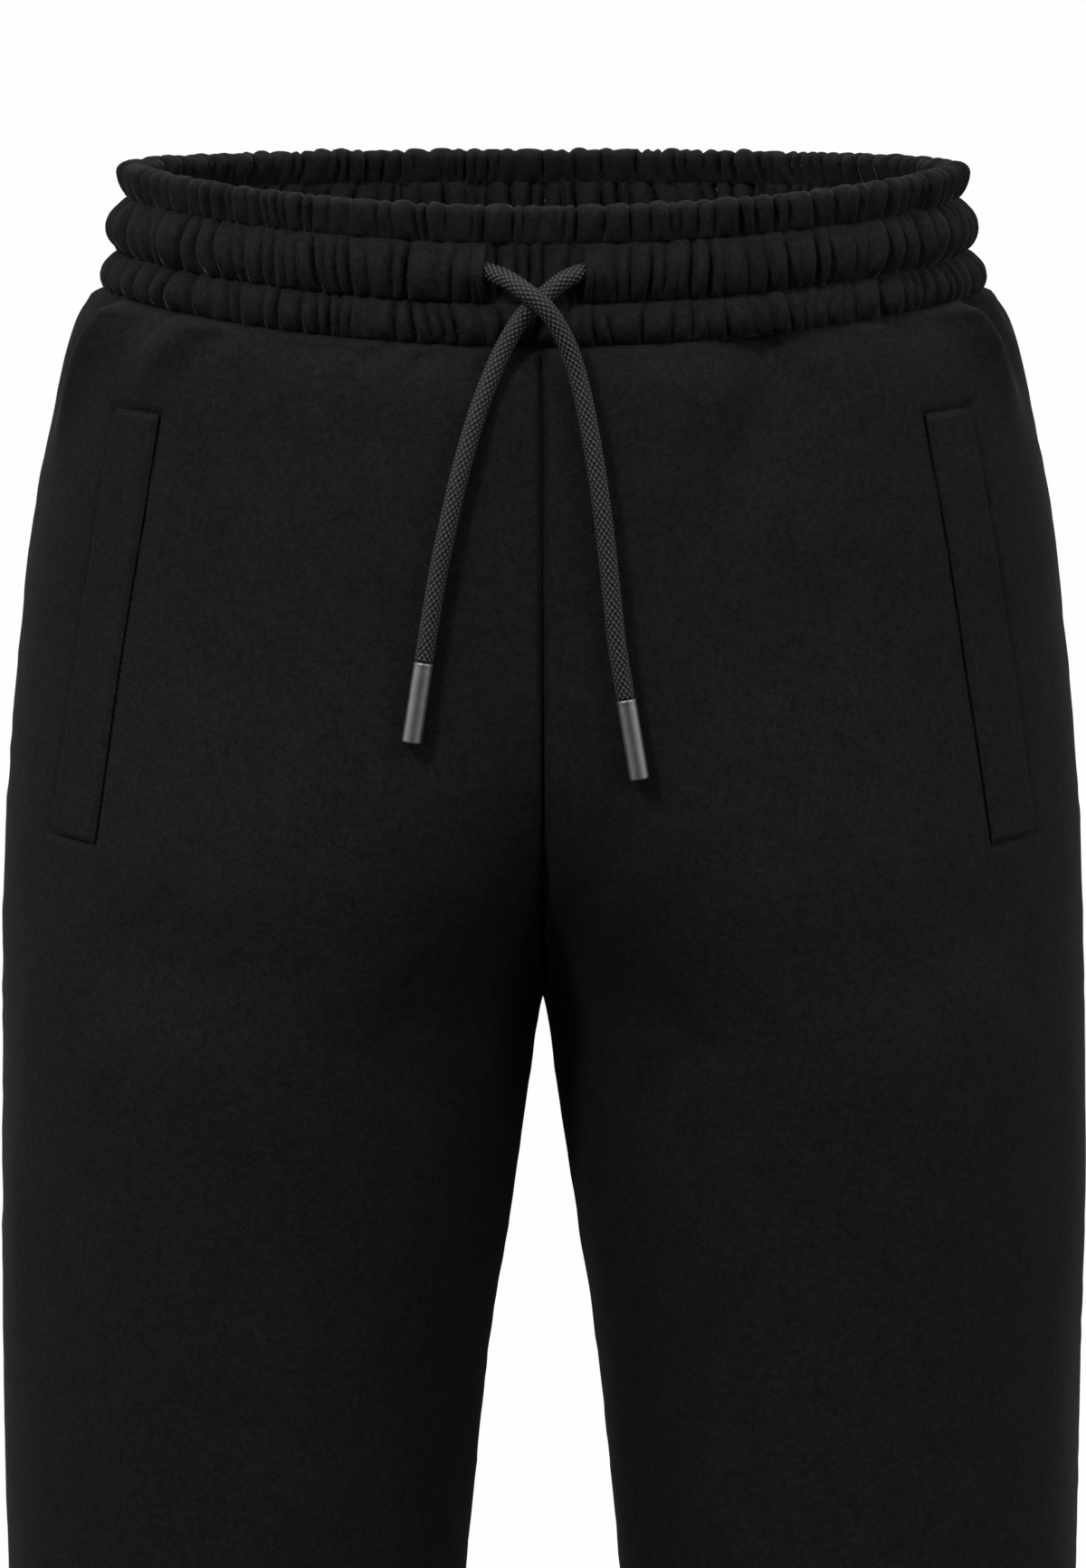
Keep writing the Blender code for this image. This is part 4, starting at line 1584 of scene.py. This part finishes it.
    def outer_lift(self, angle: Array, drop: Array) -> Array:
        """Stand-off of the outer layer, the window and its turned, topstitched edges included."""
        lift = self.layer_lift(angle, drop, False)
        x = self.spine(angle, drop)[0][..., 0]
        middle = CHANNELS[1]
        in_middle = (np.cos(angle) > 0) & (drop > middle.top) & (drop < middle.bottom)
        v = middle.share(drop)
        rounding = sine_arch(v, self.roundness)
        beyond = self.beyond_lip(x, drop)
        away = np.abs(beyond)
        calm = bell(np.maximum(beyond, 0.0), self.lip_calm) * (beyond > -0.001)
        turned = lift * (1 - calm) + middle.bulge * rounding * calm
        turned = turned + self.lip_ridge * bell(away - 0.0008, 0.0010) * rounding
        turned = turned - self.slot_groove * bell(away - self.slot_stitch, 0.0006) * rounding
        turned = turned + self.lip_rise * bell(away - 0.003, 0.006) * bell(v - 0.46, 0.28)
        behind = Gathers(909, self.girth, 0.0046, 0.0085, 0.0016).height(self.along(angle), v)
        opened = self.window(x, drop)
        seen = turned * (1 - opened) + (self.recess + behind) * rounding * opened
        return np.where(in_middle, seen, lift)

    def inner_lift(self, angle: Array, drop: Array) -> Array:
        """Stand-off of the layer next to the wearer, measured inwards from the rows of stitching."""
        return -self.wall - self.layer_lift(angle, drop, True)

    def rows(self) -> tuple[Array, Array, Array]:
        """The cut's rows: drops of the outer layer, angles over the rim, drops of the inner layer."""
        lines = tuple((channel.bottom, 0.020, 3.0) for channel in CHANNELS)
        outer = crowded(self.outer_rows, lines, self.rim, 1.0)
        inner = crowded(self.inner_rows, lines, self.rim, 1.0)
        return outer, np.linspace(0.0, math.pi, self.rim_rows + 2)[1:-1], inner

    def layer(self, angle: Array, drops: Array, lift: Array) -> Array:
        """Points at these drops and angles, this far off the rows of stitching."""
        points, ways = self.spine(angle, drops[:, None] * np.ones_like(angle))
        return points + ways * lift[..., None]

    def build(self, finish: bpy.types.Material, thread: bpy.types.Material) -> list[bpy.types.Object]:
        """Builds the band as one closed ring of cuts, and its two rows of stitches.

        Over the rim, the cut at angle q is the middle of the two layers + half their distance * cos q,
        raised by the rim's height * sin q.

        Args:
            finish: The fleece.
            thread: The sewing thread.

        Returns:
            The band and the stitches.
        """
        angle = self.angles()[None, :]
        outer_drops, rim_turns, inner_drops = self.rows()
        rim_drops = np.full(len(rim_turns), self.rim)
        outer = self.layer(angle, outer_drops, self.outer_lift(angle, outer_drops[:, None]))
        inner = self.layer(angle, inner_drops, self.inner_lift(angle, inner_drops[:, None]))
        at_rim = np.array([[self.rim]])
        first, last = self.outer_lift(angle, at_rim), self.inner_lift(angle, at_rim)
        turn = rim_turns[:, None]
        rim = self.layer(angle, rim_drops, (first + last) / 2 + (first - last) / 2 * np.cos(turn))
        rim[..., 2] += (self.rim_height + self.rim_share * (first - CHANNELS[0].bulge)) * np.sin(turn)
        cut = np.vstack([outer[::-1], rim, inner])
        drops = np.concatenate([outer_drops[::-1], rim_drops, inner_drops])
        mesh = ring_mesh("waistband", cut, self.along(angle), -self.height * drops[:, None])
        band = settle("waistband_gathered", mesh, finish)
        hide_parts("waistband")
        stitches = build_stitches("waistband_stitches", self.stitch_rows(), thread)
        return [band, stitches]

    def stitch_rows(self) -> list[StitchRow]:
        """Both rows of stitching on both faces, and the topstitching beside the two slots."""
        fine = np.linspace(-math.pi, math.pi, 2400)
        rows = []
        for drop in (CHANNELS[0].bottom, CHANNELS[1].bottom):
            drops = np.full_like(fine, drop)
            points, ways = self.spine(fine, drops)
            outside = points + ways * (self.outer_lift(fine, drops)[:, None] + 0.0002)
            rows.append(StitchRow((outside, ways), 0.0032))
            rows.append(StitchRow((points - ways * (self.wall + 0.0003), -ways), 0.0030))
        drops = np.linspace(CHANNELS[1].top + 0.02, CHANNELS[1].bottom - 0.02, 120)
        for x in (self.slot_right - self.slot_stitch, self.slot_left + self.slot_stitch):
            angle = np.arcsin(x / self.half_width(drops))
            points, ways = self.spine(angle, drops)
            outside = points + ways * (self.outer_lift(angle, drops)[:, None] - 0.00005)
            rows.append(StitchRow((outside, ways), 0.0026))
        return rows


# --------------------------------------------------------------------------------- cuffs and drawcord


@dataclass
class Cuff:
    """A tube of rib knit folded double, a little narrower at its middle."""

    form: GarmentForm
    side: Side
    drop: float = 0.065
    wall: float = 0.0030
    ribs: int = 84
    rib_depth: float = 0.00045
    pinch: float = 0.0014
    waver: float = 0.0005
    sunk: float = 0.0004
    fold_start: float = 0.96  # where the fold at the bottom starts, as a share of the drop
    fold_round: float = 0.0012
    around: int = 504

    @property
    def name(self) -> str:
        """The name of the solid that this cuff stands for."""
        return f"cuff_{self.side.word}"

    def build(self, finish: bpy.types.Material) -> bpy.types.Object:
        """Builds the tube.

        Its radius is the hem's, less pinch * sin(pi t) down its length, plus ribs of
        depth * (|cos(ribs q / 2)|^0.7 - 1/2) and a faint waver, rounded in at the fold at the bottom.

        Args:
            finish: The rib knit.

        Returns:
            The piece.
        """
        names = ("side", "inner", "front", "seam_y")
        level = np.array([HEM_LEVEL])
        side, inner, depth, seam_y = (float(self.form.measure(name, level)[0]) for name in names)
        centre, radius = (side + inner) / 2, (side - inner) / 2
        turn = full_turn(self.around)[None, :]
        fold = 1 - self.fold_start
        bend = 1 - fold * np.cos(np.linspace(0.3, 1.5, 5))
        down = np.concatenate([np.linspace(0, self.fold_start, 14), bend])[:, None]
        waver = SoftNoise(71 + self.side.value, (0.4, 0.3))(turn, down)
        rib = self.rib_depth * (np.abs(np.cos(self.ribs * turn / 2 + 0.25 * waver)) ** 0.7 - 0.5)
        waist = self.waver * waver - self.pinch * np.sin(math.pi * down)
        bent = np.clip((down - self.fold_start) / fold, 0, 1)
        rounding = self.fold_round * (1 - np.sqrt(1 - bent**2))
        outer_off = waist + rib - rounding - self.sunk
        inner_off = waist - self.wall - rib + rounding
        z = HEM_LEVEL - down * self.drop + 0 * turn
        grids = []
        for off, order in ((outer_off, 1), (inner_off, -1)):
            x = centre + (radius + off) * np.cos(turn)
            y = seam_y + (depth + off) * np.sin(turn)
            grids.append(stack(x * self.side.value, y, z)[::order])
        lengths = np.concatenate([down[:, 0], down[::-1, 0]])[:, None] * self.drop
        mesh = ring_mesh(self.name, np.vstack(grids), turn * radius, lengths)
        piece = settle(f"{self.name}_rib", mesh, finish)
        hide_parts(self.name)
        return piece


@dataclass
class CordEnd:
    """One free end of the braided drawcord with its metal tip."""

    side: Side
    route: tuple[tuple[float, float, float], ...]
    diameter: float = 0.0068
    yarns: int = 10
    pitch: float = 0.0260
    yarn_height: float = 0.00080
    around: int = 64
    step: float = 0.00036
    closed_radius: float = 0.0004
    tip_diameter: float = 0.0070
    tip_length: float = 0.029
    tip_rim: float = 0.0007
    tip_wall: float = 0.0009
    tip_bore: float = 0.0016
    tip_gap: float = 0.0003
    crimp_place: float = 0.0022
    crimp_width: float = 0.0006
    crimp_depth: float = 0.00012
    tip_around: int = 48

    def braid(self, path: Array, turn: Array) -> Array:
        """How far the yarns stand out, from 0 to 1.

        Two sets of yarns wind opposite ways, a = n q / 2 pi + l / p and b = n q / 2 pi - l / p. On
        cells where floor(a) + floor(b) is even the first set is on top, and its yarn's cut is
        sin(pi frac a)^0.6, dipping to sin(pi frac b)^0.35 at its ends; elsewhere they swap.

        Args:
            path: Ring centres.
            turn: Angles round a ring.

        Returns:
            Rings by angles of heights.
        """
        runs = path_runs(path)[:, None]
        around = self.yarns * turn[None, :] / (2 * math.pi)
        along = self.yarns * runs / self.pitch
        first, second = around + along, around - along
        over = (np.floor(first) + np.floor(second)) % 2 == 0
        cut_first = np.sin(math.pi * (first % 1.0))
        cut_second = np.sin(math.pi * (second % 1.0))
        return np.where(over, cut_first**0.6 * cut_second**0.35, cut_second**0.6 * cut_first**0.35)

    def build(self, braid: bpy.types.Material, metal: bpy.types.Material) -> list[bpy.types.Object]:
        """Builds the cord and its tip.

        Args:
            braid: The cord's finish.
            metal: The tip's finish.

        Returns:
            The cord and the tip.
        """
        path = smooth_route(self.route, self.step)
        turn = full_turn(self.around)
        stand = self.braid(path, turn)
        radius = self.diameter / 2 - self.yarn_height * (1 - stand)
        radius[0] = radius[-1] = self.closed_radius
        grid = turned_ring(path, radius, turn)
        grid[0], grid[-1] = grid[1] * 0.02 + path[0] * 0.98, grid[-2] * 0.02 + path[-1] * 0.98
        quads = grid_quads(*grid.shape[:2], loop_columns=True)
        across, down = turn[None, :] * self.diameter / 2, np.arange(len(path))[:, None] * self.step
        uv = np.stack(np.broadcast_arrays(across, down), axis=-1)
        mesh = quad_mesh(f"drawcord_{self.side.word}", grid.reshape(-1, 3), quads, uv.reshape(-1, 2))
        # the stand heights also set the braid's painted shade down between the yarns
        layer = mesh.attributes.new("stand", "FLOAT", "POINT")
        layer.data.foreach_set("value", stand.astype(np.float32).ravel())
        cord = settle(f"drawcord_{self.side.word}_braid", mesh, braid)
        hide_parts(f"drawcord_{self.side.word}")
        tip = self.build_tip(path, metal)
        length = float(path_runs(path)[-1])
        centres = [tuple(float(c) for c in centre) for centre in path]
        return [cord, tip]

    def build_tip(self, path: Array, metal: bpy.types.Material) -> bpy.types.Object:
        """Builds the tip: a turned tube with rounded rims and a shallow crimp near the cord.

        Args:
            path: The cord's ring centres, which the tip carries on from.
            metal: Its finish.

        Returns:
            The tip.
        """
        along = unit(path[-1] - path[-8])
        radius = self.tip_diameter / 2
        rounding = np.linspace(0, math.pi / 2, 7)
        rim, closed = self.tip_rim, 0.00001
        start = np.stack([rim * (1 - np.cos(rounding)), radius - rim * (1 - np.sin(rounding))], axis=1)
        middle = np.linspace(rim + 0.0004, self.tip_length - rim - 0.0004, 30)
        crimp = radius - self.crimp_depth * bell(middle - self.crimp_place, self.crimp_width)
        end = np.stack([self.tip_length - start[::-1, 0], start[::-1, 1]], axis=1)
        bore, floor = radius - self.tip_wall, self.tip_length - self.tip_bore
        hollow = np.array([[self.tip_length - 0.0002, bore], [floor, bore], [floor, closed]])
        cap = np.array([[0.0, closed], [0.0, radius - rim]])
        profile = np.vstack([cap, start, np.stack([middle, crimp], axis=1), end, hollow])
        turn = full_turn(self.tip_around)
        centres = path[-1] + along * (self.tip_gap + profile[:, :1])
        first = unit(np.cross(along, np.array([1.0, 0.0, 0.0])))
        second = np.cross(along, first)
        ways = np.cos(turn)[:, None] * first + np.sin(turn)[:, None] * second
        grid = centres[:, None, :] + profile[:, 1][:, None, None] * ways[None]
        quads = grid_quads(*grid.shape[:2], loop_columns=True)
        name = f"cord_tip_{self.side.word}"
        tip = settle(f"{name}_metal", quad_mesh(name, grid.reshape(-1, 3), quads), metal)
        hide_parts(name)
        return tip


# --------------------------------------------------------------------------------------------- studio


@dataclass(frozen=True)
class Lamp:
    """A soft rectangular light."""

    name: str
    place: tuple[float, float, float]
    aim: tuple[float, float, float]
    width: float
    height: float
    power: float

    def build(self) -> None:
        """Adds the light, turned towards its aim."""
        light = bpy.data.lights.new(self.name, "AREA")
        light.shape = "RECTANGLE"
        light.size, light.size_y, light.energy = self.width, self.height, self.power
        lamp = bpy.data.objects.new(self.name, light)
        lamp.location = self.place
        lamp.rotation_euler = (Vector(self.aim) - Vector(self.place)).to_track_quat("-Z", "Y").to_euler()
        bpy.context.scene.collection.objects.link(lamp)


@dataclass(frozen=True)
class Studio:
    """A pale floor in soft light from both sides and above, with the camera a little above the waist."""

    distance: float = 2.70
    height: float = 0.1745
    pitch: float = math.radians(8.03)
    focal: float = 8128.0
    frame_height: int = 1732
    around: float = 0.03
    from_sides: float = 1.28
    from_above: float = 1.45
    backdrop: float = 0.99
    floor_glow: float = 0.978
    floor_tone: float = 0.012
    floor_reach: float = 90.0
    lamps: tuple[Lamp, ...] = (
        Lamp("key", (-1.4, -1.9, 1.9), (0.0, 0.0, -0.15), 0.5, 0.5, 49.0),
        Lamp("fill", (1.8, -1.8, 1.2), (0.0, 0.0, -0.25), 0.8, 0.8, 17.0),
        Lamp("top", (0.0, 1.0, 1.5), (0.0, 0.0, -0.05), 1.6, 0.6, 13.0),
    )

    def build(self) -> None:
        """Sets the world, the floor, the lights and the camera."""
        scene = bpy.context.scene
        scene.view_settings.view_transform = "Standard"
        self.build_surroundings()
        self.build_floor()
        for lamp in self.lamps:
            lamp.build()
        camera = bpy.data.cameras.new("camera")
        camera.sensor_width = 36.0
        camera.lens = camera.sensor_width * self.focal / self.frame_height
        camera.clip_end = 200.0
        holder = bpy.data.objects.new("camera", camera)
        holder.location = (0.0, -self.distance, self.height)
        holder.rotation_euler = (math.pi / 2 - self.pitch, 0.0, 0.0)
        scene.collection.objects.link(holder)
        scene.camera = holder

    def build_surroundings(self) -> None:
        """A white backdrop that lights the cloth as two tall side panels and a ceiling would.

        Seen directly it is white. As light from direction d it is around + from_above * max(dz, 0)^2 +
        from_sides * dx^2 * (1 - max(-dz, 0))^2.
        """
        world = bpy.data.worlds.new("studio")
        world.use_nodes = True
        graph = Graph.of_world(world)
        away = graph.add("ShaderNodeTexCoord").out("Generated")
        parts = graph.add("ShaderNodeSeparateXYZ", {}, {0: away})
        across, up = parts.out("X"), parts.out("Z")
        above = (up + up.size()) * 0.5
        unsunk = 1.0 - (up.size() - up) * 0.5
        sides = across * across * unsunk * unsunk * self.from_sides
        light = self.around + sides + above * above * self.from_above
        lit = graph.add("ShaderNodeBackground", {}, {"Strength": light})
        seen = graph.add("ShaderNodeBackground", {}, {"Strength": self.backdrop})
        direct = graph.add("ShaderNodeLightPath").out("Is Camera Ray")
        mixed = graph.add("ShaderNodeMixShader", {}, {0: direct, 1: lit.out(), 2: seen.out()})
        output = graph.tree.nodes["World Output"]
        graph.tree.links.new(mixed.out().socket, output.inputs["Surface"])
        bpy.context.scene.world = world

    def build_floor(self) -> None:
        """A wide pale floor under the cuffs, which doesn't light the garment from below."""
        reach, tone = self.floor_reach, self.floor_tone
        corners = [(-reach, -reach), (reach, -reach), (reach, reach), (-reach, reach)]
        mesh = bpy.data.meshes.new("floor")
        mesh.from_pydata([(x, y, FLOOR_LEVEL) for x, y in corners], [], [(0, 1, 2, 3)])
        graph = Graph(
            "pale_floor",
            Roughness=0.9,
            Specular_IOR_Level=0.0,
            Base_Color=(tone, tone, tone, 1.0),
            Emission_Color=(1.0, 1.0, 1.0, 1.0),
            Emission_Strength=self.floor_glow,
        )
        mesh.materials.append(graph.material)
        floor = bpy.data.objects.new("floor", mesh)
        floor.visible_diffuse = floor.visible_glossy = False
        bpy.context.scene.collection.objects.link(floor)


def main() -> None:
    """Builds the studio, the cord ends, both legs with their pockets and cuffs, and the waistband."""
    logging.basicConfig(level=logging.INFO, format="%(name)s: %(message)s")
    Studio().build()
    braid, metal = Braid().material(), Gunmetal().material()
    fleece, rib, thread = Fleece().material(), Rib().material(), Thread().material()
    made: list[bpy.types.Object] = []
    made += CordEnd(Side.RIGHT, (*CORD_RIGHT_START, *CORD_RIGHT_ROUTE)).build(braid, metal)
    made += CordEnd(Side.LEFT, (*CORD_LEFT_START, *CORD_LEFT_ROUTE)).build(braid, metal)
    form = GarmentForm()
    for side in Side:
        for face in Face:
            panel = Panel(form, face, side, seed=100 + 10 * side.value + face.value)
            made.append(panel.build(fleece))
            if face is Face.FRONT:
                made += PocketWelt(panel).build(fleece, thread)
        made.append(Cuff(form, side).build(rib))
    made += Waistband().build(fleece, thread)
    {piece.name: piece for piece in made}


if __name__ == "__main__":
    main()
